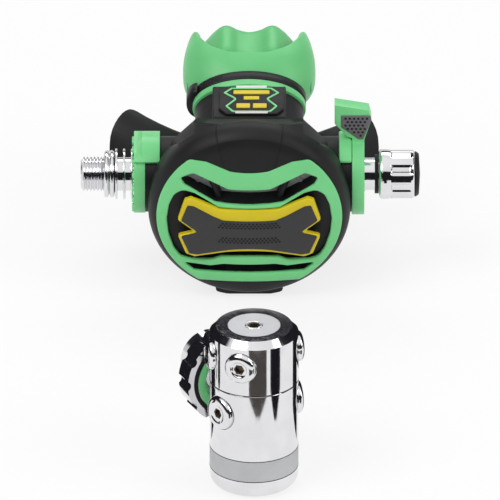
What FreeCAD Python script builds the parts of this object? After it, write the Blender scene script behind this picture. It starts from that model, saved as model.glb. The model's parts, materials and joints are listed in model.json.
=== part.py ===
import FreeCAD, Part
import Sketcher
import math
import os
import re

# Scuba regulator set: first stage standing on its end cap, second stage resting on chin and exhaust tee.
# World frame: X to the right, Y away from the face of the cover, Z up, floor at Z = 0.
# The origin is the middle of the first stage's base. Lengths are in millimetres, angles in degrees.
# Second stage frame: x along the valve barrel, y from the cover to the diver, z up the face.

SIZES = {
    # Where the second stage rests
    "stage_side": -1.9,
    "stage_back": 182.9,
    "floor_bite": 1.431,
    "face_tilt": 10.5,
    "disc_drop": 3.0,
    "floor_block": 80.0,
    # Case
    "can_radius": 37.0,
    "can_wall": 2.5,
    "can_front": -20.0,
    "can_shoulder": 0.0,
    "can_rear": 14.5,
    "rear_step": 7.0,
    "rear_wall": 2.5,
    "ledge_width": 6.0,
    "ledge_thickness": 3.0,
    "ledge_depth": 2.35,
    "left_boss_reach": 5.6,
    "right_boss_reach": 4.9,
    "boss_radius": 15.5,
    # Neck and spigot
    "neck_rise": 4.0,
    "neck_half_width": 22.3,
    "neck_half_height": 12.0,
    "neck_length": 24.0,
    "spigot_step_across": 3.3,
    "spigot_step_up": 2.0,
    "spigot_length": 12.5,
    "spigot_wall": 2.5,
    "pad_half_width": 14.7,
    "pad_rise": 0.2,
    "pad_setback": 2.5,
    # Badge
    "badge_margin": 2.4,
    "badge_front_margin": 3.0,
    "badge_rear_margin": 1.5,
    "badge_thickness": 1.4,
    # Exhaust port, valve and tee
    "flap_clearance": 0.4,
    "port_radius": 13.2,
    "port_length": 2.0,
    "port_hole_radius": 3.1,
    "port_hole_pitch": 7.3,
    "flap_margin": 1.0,
    "valve_flap_thickness": 0.8,
    "valve_stem_radius": 1.1,
    "valve_barb_radius": 1.7,
    "tee_half_width": 18.0,
    "tee_gap": 0.3,
    "tee_depth": 31.7,
    "tee_collar_gap": 0.5,
    "tee_sink": 9.2,
    "tee_floor_thickness": 8.0,
    "tee_wall": 2.4,
    "wing_root_half_gap": 15.0,
    "wing_root_setback": 16.2,
    "wing_root_drop": 31.0,
    "wing_root_major": 19.0,
    "wing_root_minor": 12.0,
    "wing_reach": 55.5,
    "wing_sweep": 15.0,
    "wing_tip_drop": 20.0,
    "wing_tip_major": 16.0,
    "wing_tip_minor": 9.0,
    "wing_lean": 36.5,
    "wing_end_radius": 26.0,
    "wing_end_trim": 0.6,
    # Front bezel
    "bezel_rim": 4.4,
    "bezel_rear_rim": 2.2,
    "bezel_rear": -6.0,
    "bezel_wide_length": 4.0,
    "bezel_shoulder": 2.2,
    "face_rim": 1.5,
    "face_edge_height": 5.6,
    "face_height": 8.5,
    "cover_room": 2.4,
    "cover_ledge": 6.5,
    "bezel_fit": 0.05,
    "seat_gap": 0.1,
    "chin_half_width": 14.5,
    "chin_reach": 2.0,
    "chin_setback": 8.0,
    "chin_drop": 2.1,
    # Cover insert with its slots and the recess for the button
    "insert_margin": 0.5,
    "insert_depth": 1.2,
    "insert_proud": 0.3,
    "insert_top_margin": 9.3,
    "valley_narrowing": 21.0,
    "valley_drop": 0.7,
    "valley_foot_narrowing": 9.5,
    "valley_foot_drop": 4.3,
    "valley_dip": 0.8,
    "insert_bottom_margin": 7.0,
    "brow_middle_width": 8.0,
    "brow_corner_width": 6.2,
    "slot_margin": 11.0,
    "slot_flat_widening": 0.5,
    "slot_flat_rise": 0.5,
    "slot_shoulder_narrowing": 4.7,
    "slot_tip_drop": 2.5,
    "slot_heel_narrowing": 1.5,
    "slot_heel_drop": 3.0,
    "slot_bend_narrowing": 13.5,
    "slot_bend_rise": 1.4,
    "slot_middle_height": 6.8,
    "recess_floor_height": 3.9,
    "strap_middle_width": 1.7,
    "strap_corner_width": 2.8,
    "recess_margin": 4.3,
    "recess_flat_narrowing": 1.5,
    "recess_flat_rise": 0.6,
    "recess_bend_narrowing": 11.9,
    "recess_bend_drop": 1.0,
    "recess_top_narrowing": 5.4,
    "recess_shoulder_narrowing": 1.8,
    "recess_shoulder_drop": 4.1,
    "recess_side_height": -1.0,
    "recess_foot_narrowing": 4.0,
    "recess_foot_rise": 1.8,
    "recess_bottom_narrowing": 10.2,
    "recess_bottom_margin": 19.3,
    "recess_heel_narrowing": 20.2,
    "recess_heel_rise": 0.6,
    "recess_bottom_rise": 2.2,
    "sill_middle_width": 4.5,
    "vent_margin": 11.9,
    "vent_flat_narrowing": 15.6,
    "vent_flat_rise": 0.3,
    "vent_crest_narrowing": 11.2,
    "vent_crest_rise": 0.9,
    "vent_tip_drop": 0.2,
    "vent_narrowing": 4.6,
    "vent_corner_height": 4.0,
    "vent_middle_height": 3.5,
    # Purge button, trim and spring
    "trim_corner_gap": 2.1,
    "trim_middle_gap": 0.4,
    "trim_side_gap": 5.0,
    "trim_flat_narrowing": 17.2,
    "trim_flat_rise": 0.5,
    "trim_bend_narrowing": 10.8,
    "trim_bend_drop": 2.4,
    "trim_top_narrowing": 5.4,
    "trim_shoulder_narrowing": 2.8,
    "trim_shoulder_drop": 1.0,
    "trim_upper_side": 1.6,
    "trim_notch_depth": 6.8,
    "trim_notch_height": -4.2,
    "trim_lower_side": -6.1,
    "trim_foot_narrowing": 3.4,
    "trim_foot_rise": 1.6,
    "trim_bottom_narrowing": 6.9,
    "trim_bottom_gap": 3.0,
    "trim_heel_narrowing": 19.6,
    "trim_heel_rise": 2.2,
    "trim_bottom_rise": 2.6,
    "trim_height": 9.2,
    "trim_thickness": 2.0,
    "plate_margin": 1.2,
    "plate_top_margin": 5.3,
    "plate_flat_rise": 0.6,
    "plate_bend_narrowing": 14.2,
    "plate_bend_rise": 2.8,
    "plate_corner_margin": 3.8,
    "plate_shoulder_margin": 2.3,
    "plate_thickness": 1.3,
    "hub_radius": 4.4,
    "hub_fit": 0.3,
    "hub_gap": 0.4,
    "hub_lip_reach": 1.0,
    "hub_lip": 0.8,
    "well_gap": 0.35,
    "well_depth": 0.5,
    "well_wall": 1.1,
    "purge_wire": 0.45,
    "purge_coil_gap": 0.55,
    "purge_turns": 2.5,
    "purge_spring_gap": 0.15,
    # Diaphragm and its plate
    "rim_gap": 0.3,
    "diaphragm_depth": 1.0,
    "membrane_thickness": 0.8,
    "rim_width": 3.0,
    "fold_radius": 24.0,
    "fold_width": 2.4,
    "fold_height": 1.0,
    "disc_plate_radius": 15.0,
    "disc_plate_thickness": 0.8,
    # Valve barrel and what runs in it
    "barrel_wall": 1.8,
    "barrel_bore": 5.2,
    "collar_width": 4.6,
    "barrel_fit": 0.05,
    "window_start": 9.0,
    "window_end": 17.0,
    "window_half_height": 4.6,
    "outlet_half_length": 6.0,
    "outlet_half_height": 4.0,
    "orifice_end": -20.0,
    "orifice_bore": 2.2,
    "orifice_crown": 2.9,
    "orifice_crown_length": 1.6,
    "stub_length": 6.2,
    "seat_gap_length": 0.3,
    "seat_radius": 3.4,
    "seat_thickness": 2.0,
    "poppet_gap": 0.3,
    "poppet_length": 5.5,
    "spindle_radius": 1.5,
    "spindle_room": 7.0,
    "spring_collar_start": 20.0,
    "spring_collar_length": 1.8,
    "nut_radius": 3.0,
    "nut_start": 13.6,
    "nut_length": 2.4,
    "screw_room": 3.0,
    "screw_pad_length": 1.5,
    "screw_radius": 2.9,
    "screw_end_gap": 2.0,
    "valve_wire": 0.45,
    "valve_coil_gap": 1.2,
    "valve_turns": 7.0,
    # Demand lever
    "lever_pivot_along": 13.0,
    "lever_tip_along": -3.0,
    "lever_half_width": 4.2,
    "lever_foot_inner": 1.9,
    "lever_foot_end": -1.6,
    "lever_thickness": 1.0,
    "lever_tip_gap": 0.3,
    "lever_tip_half_length": 2.5,
    # Inlet connector
    "hose_thread_radius": 7.14,
    "hose_thread_length": 9.4,
    "thread_core_radius": 6.3,
    "inlet_bore": 3.0,
    "flange_radius": 9.7,
    "flange_length": 2.25,
    "flange_gap": 0.2,
    "spool_radius": 6.9,
    "fin_radius": 10.45,
    "fin_thickness": 0.95,
    "fin_gap": 0.35,
    "fin_pitch": 3.2,
    "oring_setback": 2.4,
    "oring_groove_length": 1.5,
    "oring_wire": 0.62,
    # Green ring with its saddle on the inlet side, saddle on the lever side
    "collar_step": 0.4,
    "saddle_step": 2.1,
    "saddle_length": 6.0,
    "saddle_half_angle": 38.0,
    "right_saddle_length": 5.2,
    # Venturi lever, grip and vane
    "lever_ring_step": 1.1,
    "lever_lean": 10.0,
    "paddle_gap": 0.8,
    "paddle_step": 0.4,
    "paddle_top": 14.6,
    "paddle_outer_top": 12.2,
    "paddle_inner": 7.1,
    "paddle_top_outer": 6.9,
    "paddle_outer": 8.0,
    "paddle_outer_height": 8.0,
    "paddle_inner_height": 6.1,
    "paddle_waist_outer": 4.6,
    "paddle_waist_drop": 2.6,
    "paddle_bottom_inner": 1.8,
    "paddle_thickness": 7.0,
    "grip_inner": 4.4,
    "grip_top": 9.8,
    "grip_depth": 1.2,
    "grip_proud": 0.4,
    "grip_foot_drop": 0.8,
    "grip_foot_inner": 2.6,
    "grip_side_height": 4.6,
    "vane_sleeve_wall": 1.3,
    "vane_bore_gap": 0.1,
    "vane_sleeve_start": 19.0,
    "vane_fit": 0.05,
    "vane_length": 7.5,
    "vane_height": 2.8,
    "vane_thickness": 1.2,
    "vane_angle": 45.0,
    # Knob side
    "sleeve_radius": 6.7,
    "sleeve_length": 4.2,
    "sleeve_hub_radius": 5.4,
    "sleeve_hub_length": 8.0,
    "dark_ring_radius": 8.0,
    "dark_ring_length": 1.6,
    "knob_length": 14.7,
    "knob_radius": 10.3,
    "knob_edge": 1.3,
    "knob_end_gap": 0.4,
    "knob_fit": 0.1,
    "cap_stub_length": 2.8,
    "knob_flats": 8,
    "knob_flat_radius": 9.0,
    "knob_flat_depth": 0.8,
    "cap_margin": 0.8,
    "cap_edge": 1.0,
    "cap_length": 2.2,
    "cap_stub_radius": 3.9,
    "cap_stub_fit": 0.1,
    # Mouthpiece and clip
    "mouth_gap": 0.3,
    "mouth_collar_step_across": 1.0,
    "mouth_collar_step_up": 1.1,
    "mouth_collar_length": 4.3,
    "clip_length": 5.8,
    "groove_wall_across": 3.0,
    "groove_wall_up": 1.8,
    "clip_thickness": 1.3,
    "shield_root": 1.6,
    "shield_swell_length": 8.5,
    "shield_rim_length": 17.0,
    "shield_flare_across": 4.0,
    "shield_flare_up": 2.5,
    "rim_flare_across": 1.3,
    "rim_flare_up": 3.5,
    "rim_rise": 2.2,
    "mouth_wall": 2.6,
    "arch_radius": 27.0,
    "arch_depth": 13.0,
    "bite_inner": 9.5,
    "bite_outer": 19.0,
    "bite_depth": 18.0,
    "bite_reach": 5.5,
    "bite_thickness": 3.6,
    "stay_thickness": 3.0,
    "bridge_rise": 11.2,
    "bridge_thickness": 2.6,
    "buckle_width": 3.0,
    "buckle_half_height": 7.2,
    # First stage body
    "stage_radius": 17.8,
    "cap_height": 7.9,
    "band_height": 9.0,
    "body_top": 46.2,
    "cap_hole_radius": 9.0,
    "cap_floor": 3.0,
    "cap_rounding": 4.5,
    "membrane_height": 1.0,
    "lower_spigot_step": 2.3,
    "band_wall": 3.8,
    "upper_spigot_step": 3.0,
    "upper_spigot_length": 6.7,
    "thread_fit": 0.05,
    "main_membrane_gap": 0.3,
    "low_chamber_step": 0.5,
    "low_chamber_height": 4.6,
    "shoulder_thickness": 1.3,
    "seat_shoulder_bore": 3.0,
    "high_bore": 4.5,
    "high_seat_height": 3.0,
    "high_seat_bore": 1.5,
    "high_seat_crown": 2.2,
    "turret_spigot_radius": 10.7,
    "turret_spigot_length": 3.3,
    "post_radius": 6.6,
    "post_length": 13.8,
    "air_passage_radius": 1.0,
    "air_passage_offset": 8.0,
    "air_passage_azimuth": 26.0,
    "body_edge": 0.6,
    # Balanced valve
    "adjuster_gap": 0.1,
    "adjuster_thickness": 3.5,
    "adjuster_bore": 5.0,
    "carrier_radius": 9.5,
    "carrier_thickness": 1.3,
    "carrier_gap": 0.2,
    "main_wire": 1.2,
    "main_coil_radius": 7.6,
    "main_turns": 3.5,
    "transmitter_radius": 3.0,
    "transmitter_plate_radius": 7.5,
    "transmitter_plate_height": 1.3,
    "transmitter_lift": 0.95,
    "lifter_plate_radius": 6.0,
    "lifter_plate_height": 1.0,
    "lifter_pin_radius": 1.0,
    "valve_open": 0.9,
    "high_valve_radius": 3.2,
    "high_valve_height": 2.6,
    "high_stem_radius": 1.5,
    "stem_overlap": 2.0,
    "plug_height": 4.0,
    "plug_depth": 1.2,
    "high_wire": 0.35,
    "high_coil_radius": 2.3,
    "high_turns": 5.0,
    # Swivel turret
    "turret_gap": 0.15,
    "turret_height": 23.3,
    "turret_fit": 0.1,
    "turret_roof": 7.5,
    "turret_rounding": 2.6,
    "bolt_head_radius": 10.5,
    "bolt_head_height": 2.3,
    "bolt_shank_radius": 5.9,
    "bolt_engagement": 9.5,
    "bolt_fit": 0.1,
    "bolt_hex": 5.0,
    "bolt_hex_depth": 3.0,
    "seal_rise": 1.6,
    "seal_wire": 0.65,
    # Ports and plugs
    "low_port_rise": 12.3,
    "low_port_radius": 4.76,
    "port_post_clearance": 0.6,
    "low_port_spacing": 60.0,
    "low_port_first": -18.0,
    "low_head_radius": 6.4,
    "plug_face_step": 1.4,
    "low_seat_depth": 1.2,
    "low_plug_length": 5.4,
    "right_port_azimuth": 102.0,
    "open_port_azimuth": 162.0,
    "high_port_drop": 10.2,
    "high_port_radius": 5.55,
    "high_port_azimuth": -50.0,
    "high_head_radius": 7.0,
    "high_seat_depth": 1.5,
    "high_plug_length": 5.8,
    "high_port_depth": 7.0,
    "high_passage": 1.5,
    "plug_head": 3.2,
    "plug_edge": 1.5,
    "plug_fit": 0.06,
    "plug_hex": 4.0,
    "plug_hex_depth": 2.4,
    "plug_oring_wire": 0.45,
    "spotface_fit": 0.2,
    # DIN connector
    "din_rim": 0.3,
    "din_azimuth": -154.0,
    "din_seat_depth": 2.8,
    "din_stem_length": 4.4,
    "din_stem_thread": 8.0,
    "din_collar_radius": 8.9,
    "din_collar_reach": 1.6,
    "din_shaft_radius": 7.0,
    "din_bore": 3.0,
    "din_passage": 2.2,
    "din_thread_radius": 11.455,
    "din_thread_length": 14.0,
    "din_running_fit": 0.05,
    "wheel_radius": 19.2,
    "wheel_gap": 3.0,
    "wheel_thickness": 8.8,
    "wheel_bore": 11.0,
    "wheel_lugs": 12,
    "wheel_groove_radius": 2.2,
    "wheel_groove_depth": 1.3,
    "wheel_ring_radius": 14.6,
    "wheel_ring_inner": 11.3,
    "wheel_ring_depth": 1.2,
    "wheel_ring_proud": 0.3,
    "din_flange_radius": 8.8,
    "din_flange_length": 2.2,
    "din_oring_radius": 7.0,
    "din_oring_wire": 0.8,
    "din_oring_groove": 1.3,
    "filter_radius": 4.5,
    "filter_setback": 4.5,
    "filter_length": 5.0,
}

# Sizes that follow others, so that what fits together stays together

FOLLOWS = {
    # Where the second stage rests
    "stage_lift": "-chin_front * sin(face_tilt) - chin_bottom * cos(face_tilt) - floor_bite",
    # Case
    "rear_radius": "can_radius - rear_step",
    "left_boss_end": "can_radius + left_boss_reach",
    "right_boss_end": "can_radius + right_boss_reach",
    # Neck and spigot
    "neck_end": "can_rear + neck_length",
    "spigot_half_width": "neck_half_width - spigot_step_across",
    "spigot_half_height": "neck_half_height - spigot_step_up",
    "spigot_end": "neck_end + spigot_length",
    "airway_half_width": "spigot_half_width - spigot_wall",
    "airway_half_height": "spigot_half_height - spigot_wall",
    "pad_top": "neck_rise + neck_half_height + pad_rise",
    "pad_start": "can_rear + pad_setback",
    # Badge
    "badge_half_width": "pad_half_width - badge_margin",
    "badge_start": "pad_start + badge_front_margin",
    "badge_end": "neck_end - badge_rear_margin",
    # Exhaust port, valve and tee
    "port_drop": "flap_clearance + valve_flap_radius + tee_wall - tee_top",
    "port_rear": "can_rear + port_length",
    "valve_flap_radius": "port_radius - flap_margin",
    "tee_front": "can_rear + tee_gap",
    "tee_rear": "tee_front + tee_depth",
    "tee_top": "neck_rise - mouth_collar_half_height - tee_collar_gap",
    "tee_bottom": "-stage_lift - tee_sink",
    "tee_floor": "tee_bottom + tee_floor_thickness",
    "wing_root_back": "tee_front + wing_root_setback",
    "wing_tip_back": "wing_root_back + wing_sweep",
    # Front bezel
    "bezel_radius": "can_radius + bezel_rim",
    "bezel_rear_radius": "can_radius + bezel_rear_rim",
    "bezel_wide_rear": "can_front + bezel_wide_length",
    "bezel_wide_front": "can_front - bezel_shoulder",
    "face_radius": "can_radius + face_rim",
    "face_edge": "can_front - face_edge_height",
    "face_middle": "can_front - face_height",
    "bezel_inner_face": "can_front - cover_room",
    "bezel_clear_radius": "can_radius - cover_ledge",
    "chin_front": "can_front - chin_reach",
    "chin_rear": "can_front + chin_setback",
    "chin_bottom": "-disc_drop - bezel_radius - chin_drop",
    # Cover insert with its slots and the recess for the button
    "insert_radius": "face_radius - insert_margin",
    "insert_top_corner": "face_radius - insert_top_margin",
    "valley_half_width": "face_radius - valley_narrowing",
    "valley_height": "insert_top_corner - valley_drop",
    "valley_foot_half_width": "valley_half_width - valley_foot_narrowing",
    "valley_foot_height": "valley_height - valley_foot_drop",
    "insert_top_middle": "valley_foot_height - valley_dip",
    "insert_bottom": "insert_bottom_margin - face_radius",
    "recess_floor": "can_front - recess_floor_height",
    "recess_top_half_width": "recess_half_width - recess_top_narrowing",
    "recess_top_corner": "slot_heel_height - strap_corner_width",
    "recess_top_middle": "slot_bottom_middle - strap_middle_width",
    "recess_half_width": "face_radius - recess_margin",
    "recess_bottom_corner": "recess_bottom_margin - face_radius",
    "recess_bottom_middle": "recess_bottom_corner + recess_bottom_rise",
    "slot_half_width": "face_radius - slot_margin",
    "slot_top_corner": "insert_top_corner - brow_corner_width",
    "slot_top_middle": "insert_top_middle - brow_middle_width",
    "slot_tip_height": "slot_top_corner - slot_tip_drop",
    "slot_heel_height": "slot_tip_height - slot_heel_drop",
    "slot_bend_half_width": "slot_half_width - slot_bend_narrowing",
    "slot_bottom_middle": "slot_top_middle - slot_middle_height",
    "vent_half_width": "face_radius - vent_margin",
    "vent_top_middle": "recess_bottom_middle - sill_middle_width",
    "vent_tip_height": "vent_top_middle - vent_tip_drop",
    "vent_bottom_middle": "vent_top_middle - vent_middle_height",
    # Purge button, trim and spring
    "trim_top_half_width": "trim_side_half_width - trim_top_narrowing",
    "trim_top_corner": "recess_top_corner - trim_corner_gap",
    "trim_top_middle": "recess_top_middle - trim_middle_gap",
    "trim_side_half_width": "recess_half_width - trim_side_gap",
    "trim_notch_half_width": "trim_side_half_width - trim_notch_depth",
    "trim_shoulder_half_width": "trim_side_half_width - trim_shoulder_narrowing",
    "trim_foot_half_width": "trim_side_half_width - trim_foot_narrowing",
    "trim_bottom_half_width": "trim_side_half_width - trim_bottom_narrowing",
    "trim_heel_half_width": "trim_side_half_width - trim_heel_narrowing",
    "trim_bottom_corner": "recess_bottom_corner + trim_bottom_gap",
    "trim_bottom_middle": "recess_bottom_middle + trim_bottom_rise",
    "plate_top_middle": "trim_top_middle - plate_top_margin",
    "trim_front": "can_front - trim_height",
    "hub_end": "diaphragm_front - hub_gap",
    "hub_lip_radius": "hub_radius + hub_lip_reach",
    "well_radius": "purge_coil_radius + purge_wire + well_gap + well_wall",
    "well_rear": "can_front - well_depth",
    "purge_coil_radius": "hub_radius + hub_fit + well_wall + purge_wire + purge_coil_gap",
    # Diaphragm and its plate
    "diaphragm_radius": "can_radius - can_wall - rim_gap",
    "diaphragm_front": "can_front + diaphragm_depth",
    # Valve barrel and what runs in it
    "barrel_radius": "barrel_bore + barrel_wall",
    "barrel_half_length": "left_boss_end + collar_width",
    "stub_end": "stub_length - barrel_half_length",
    "poppet_radius": "barrel_bore - poppet_gap",
    "spindle_end": "screw_pad_start - spindle_room",
    "spring_collar_radius": "barrel_bore - poppet_gap",
    "screw_pad_start": "barrel_half_length - stub_length - screw_room",
    "screw_pad_radius": "barrel_bore - poppet_gap",
    "screw_end": "knob_drive_end - screw_end_gap",
    "valve_coil_radius": "barrel_bore - valve_coil_gap",
    # Inlet connector
    "flange_start": "fin_first - flange_gap - 2 * flange_length",
    "hose_thread_start": "flange_start - hose_thread_length",
    "fin_first": "-barrel_half_length - fin_gap - fin_thickness - 2 * fin_pitch",
    "stub_radius": "barrel_bore - barrel_fit",
    "oring_groove_start": "oring_setback - barrel_half_length",
    # Green ring with its saddle on the inlet side, saddle on the lever side
    "collar_radius": "boss_radius + collar_step",
    "saddle_radius": "boss_radius + saddle_step",
    # Venturi lever, grip and vane
    "lever_ring_radius": "boss_radius + lever_ring_step",
    "lever_ring_start": "right_boss_end + seat_gap",
    "paddle_foot": "saddle_radius + paddle_gap",
    "lever_ring_end": "barrel_half_length - seat_gap",
    "vane_sleeve_radius": "vane_bore_radius + vane_sleeve_wall",
    "vane_bore_radius": "barrel_radius + vane_bore_gap",
    "vane_reach": "vane_sleeve_radius + vane_height",
    # Knob side
    "sleeve_start": "barrel_half_length",
    "sleeve_hub_end": "sleeve_start + sleeve_length + sleeve_hub_length",
    "sleeve_stub_end": "barrel_half_length - stub_length",
    "sleeve_bore": "screw_radius + barrel_fit",
    "knob_start": "sleeve_start + sleeve_length + dark_ring_length + seat_gap",
    "knob_end": "knob_start + knob_length",
    "knob_mouth_radius": "knob_radius - knob_edge",
    "knob_bore": "sleeve_hub_radius + knob_fit",
    "knob_bore_end": "sleeve_hub_end + knob_end_gap",
    "knob_drive_bore": "screw_radius + knob_fit",
    "knob_drive_end": "knob_end - cap_stub_length",
    "cap_radius": "knob_radius - cap_margin",
    # Mouthpiece and clip
    "mouth_collar_start": "neck_end + mouth_gap",
    "mouth_collar_half_width": "neck_half_width + mouth_collar_step_across",
    "mouth_collar_half_height": "neck_half_height + mouth_collar_step_up",
    "clip_start": "mouth_collar_start + mouth_collar_length",
    "groove_half_width": "spigot_half_width + groove_wall_across",
    "groove_half_height": "spigot_half_height + groove_wall_up",
    "shield_start": "clip_start + clip_length + shield_root",
    "shield_swell": "shield_start + shield_swell_length",
    "shield_end": "shield_swell + shield_rim_length",
    "shield_half_width": "mouth_collar_half_width + shield_flare_across",
    "shield_half_height": "mouth_collar_half_height + shield_flare_up",
    "rim_half_width": "mouth_collar_half_width + rim_flare_across",
    "rim_half_height": "mouth_collar_half_height + rim_flare_up",
    "arch_start": "shield_end - arch_depth",
    "bite_start": "shield_end - bite_depth",
    "bite_end": "shield_end + bite_reach",
    "bridge_top": "neck_rise + bridge_rise",
    # First stage body
    "lower_spigot_radius": "stage_radius - lower_spigot_step",
    "band_bore": "upper_spigot_radius - band_wall",
    "upper_spigot_radius": "stage_radius - upper_spigot_step",
    "spigot_top": "cap_height + band_height + upper_spigot_length",
    "main_membrane_radius": "upper_spigot_radius - main_membrane_gap",
    "low_chamber_radius": "band_bore - low_chamber_step",
    "low_chamber_roof": "spigot_top + low_chamber_height",
    "seat_shoulder": "low_chamber_roof + shoulder_thickness",
    "high_seat_top": "seat_shoulder + high_seat_height",
    "turret_spigot_top": "body_top + turret_spigot_length",
    "post_top": "body_top + post_length",
    # Balanced valve
    "adjuster_bottom": "cap_height + adjuster_gap",
    "adjuster_top": "adjuster_bottom + adjuster_thickness",
    "high_stem_top": "plug_bottom + stem_overlap",
    "plug_bottom": "plug_top - plug_height",
    "plug_top": "body_top - plug_depth",
    "plug_bore": "high_stem_radius + thread_fit",
    # Swivel turret
    "turret_top": "body_top + turret_height",
    "turret_bore": "turret_spigot_radius + turret_fit",
    "turret_chamber_top": "turret_top - turret_roof",
    "bolt_thread_radius": "high_bore - thread_fit",
    "bolt_end": "post_top - bolt_engagement",
    "seal_height": "body_top + seal_rise",
    # Ports and plugs
    "low_port_height": "body_top + low_port_rise",
    "low_face_radius": "low_head_radius - plug_face_step",
    "plug_seat_low": "stage_radius - low_seat_depth",
    "high_port_height": "body_top - high_port_drop",
    "high_face_radius": "high_head_radius - plug_face_step",
    "plug_seat_high": "stage_radius - high_seat_depth",
    # DIN connector
    "din_height": "body_top - din_collar_radius - spotface_fit - din_rim",
    "din_seat": "stage_radius - din_seat_depth",
    "din_inner_end": "din_seat - din_stem_length",
    "din_collar_end": "stage_radius + din_collar_reach",
    "wheel_near": "stage_radius + wheel_gap",
    "wheel_far": "wheel_near + wheel_thickness",
    "filter_start": "wheel_far + din_thread_length - filter_setback",
    "filter_end": "filter_start + filter_length",
}

doc = FreeCAD.newDocument("RegulatorSet")
sheet = doc.addObject("Spreadsheet::Sheet", "Size")
for row, (word, value) in enumerate(SIZES.items(), start=1):
    sheet.set(f"A{row}", word)
    sheet.set(f"B{row}", str(value))
    sheet.setAlias(f"B{row}", word)
doc.recompute()

WORD = re.compile(r"[a-z]+(?:_[a-z]+)*")
parts = []


def bound(text):
    """Turn an expression in plain size names into one that reads the sheet's cells."""
    def cell(found):
        word = found.group()
        if word in FOLLOWS:
            return "(" + bound(FOLLOWS[word]) + ")"
        return "Size." + word if word in SIZES else word
    return WORD.sub(cell, text)


def number(text):
    """Work out an expression in size names."""
    return float(sheet.evalExpression(bound(text)))


def part(label, feature):
    """Name a finished sub-part after its node."""
    feature.Label = label
    parts.append(feature)
    return feature


# Places, as expressions that follow the sheet

STAGE = (
    "placement(vector(stage_side; stage_back; stage_lift);"
    " rotation(vector(1; 0; 0); face_tilt))"
)
ALONG = STAGE + " * placement(vector(0; 0; 0); rotation(vector(0; 1; 0); 90))"
DISC = STAGE + " * placement(vector(0; 0; -disc_drop); rotation(vector(1; 0; 0); -90))"
FACE = STAGE + " * placement(vector(0; 0; -disc_drop); rotation(vector(1; 0; 0); 0))"
NECK = STAGE + " * placement(vector(0; 0; neck_rise); rotation(vector(1; 0; 0); -90))"
PORT = STAGE + " * placement(vector(0; 0; -port_drop); rotation(vector(1; 0; 0); -90))"
UPRIGHT = "placement(vector(0; 0; 0); rotation(vector(0; 0; 1); 0))"


def shifted(frame, x="0", y="0", z="0"):
    """A place moved inside its frame."""
    return f"{frame} * placement(vector({x}; {y}; {z}); rotation(vector(0; 0; 1); 0))"


def turned_frame(frame, axis, angle):
    """A frame turned about its own x, y or z axis."""
    vector = {"x": "1; 0; 0", "y": "0; 1; 0", "z": "0; 0; 1"}[axis]
    return f"{frame} * placement(vector(0; 0; 0); rotation(vector({vector}); {angle}))"


def radial(height, azimuth):
    """A frame whose z axis points out of the first stage, azimuth counted from the front to the right."""
    return (
        f"placement(vector(0; 0; {height}); rotation(vector(0; 0; 1); {azimuth}))"
        " * placement(vector(0; 0; 0); rotation(vector(1; 0; 0); 90))"
    )


def placed(feature, frame):
    feature.setExpression("Placement", bound(frame))
    return feature


# Solids

def plane(body, role):
    return next(item for item in body.Origin.OriginFeatures if item.Role == role)


def pin_vertex(sketch, index, corner):
    """Hold a sketch line's start at a corner given as two expressions."""
    for kind, text in zip(("DistanceX", "DistanceY"), corner):
        held = sketch.addConstraint(Sketcher.Constraint(kind, -1, 1, index, 1, number(text)))
        sketch.setExpression(f"Constraints[{held}]", bound(text))


def turned(name, corners, frame):
    """Body of revolution about z through (radius, height) corners."""
    body = doc.addObject("PartDesign::Body", name)
    sketch = body.newObject("Sketcher::SketchObject", name + "_profile")
    sketch.AttachmentSupport = (plane(body, "XZ_Plane"), [""])
    sketch.MapMode = "FlatFace"
    points = [FreeCAD.Vector(number(x), number(y), 0) for x, y in corners]
    count = len(points)
    for i in range(count):
        sketch.addGeometry(Part.LineSegment(points[i], points[(i + 1) % count]))
    for i in range(count):
        sketch.addConstraint(Sketcher.Constraint("Coincident", i, 2, (i + 1) % count, 1))
        pin_vertex(sketch, i, corners[i])
    turn = body.newObject("PartDesign::Revolution", name + "_turn")
    turn.Profile = sketch
    turn.ReferenceAxis = (sketch, ["V_Axis"])
    turn.Angle = 360
    doc.recompute()
    return placed(body, frame)


def rounded(body, name, radius, edges):
    """Fillet the circular edges of a turned body that lie at the given (radius, height) corners."""
    names = []
    for index, edge in enumerate(body.Shape.Edges, start=1):
        if not hasattr(edge.Curve, "Radius"):
            continue
        local = body.Placement.inverse().multVec(edge.Curve.Center)
        for around, height in edges:
            same = abs(edge.Curve.Radius - number(around)) < 0.001 and abs(local.z - number(height)) < 0.001
            if same:
                names.append(f"Edge{index}")
    turn = body.Tip
    fillet = body.newObject("PartDesign::Fillet", name + "_rounding")
    fillet.Base = (turn, names)
    fillet.setExpression("Radius", bound(radius))
    body.Tip = fillet
    doc.recompute()
    return body


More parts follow.
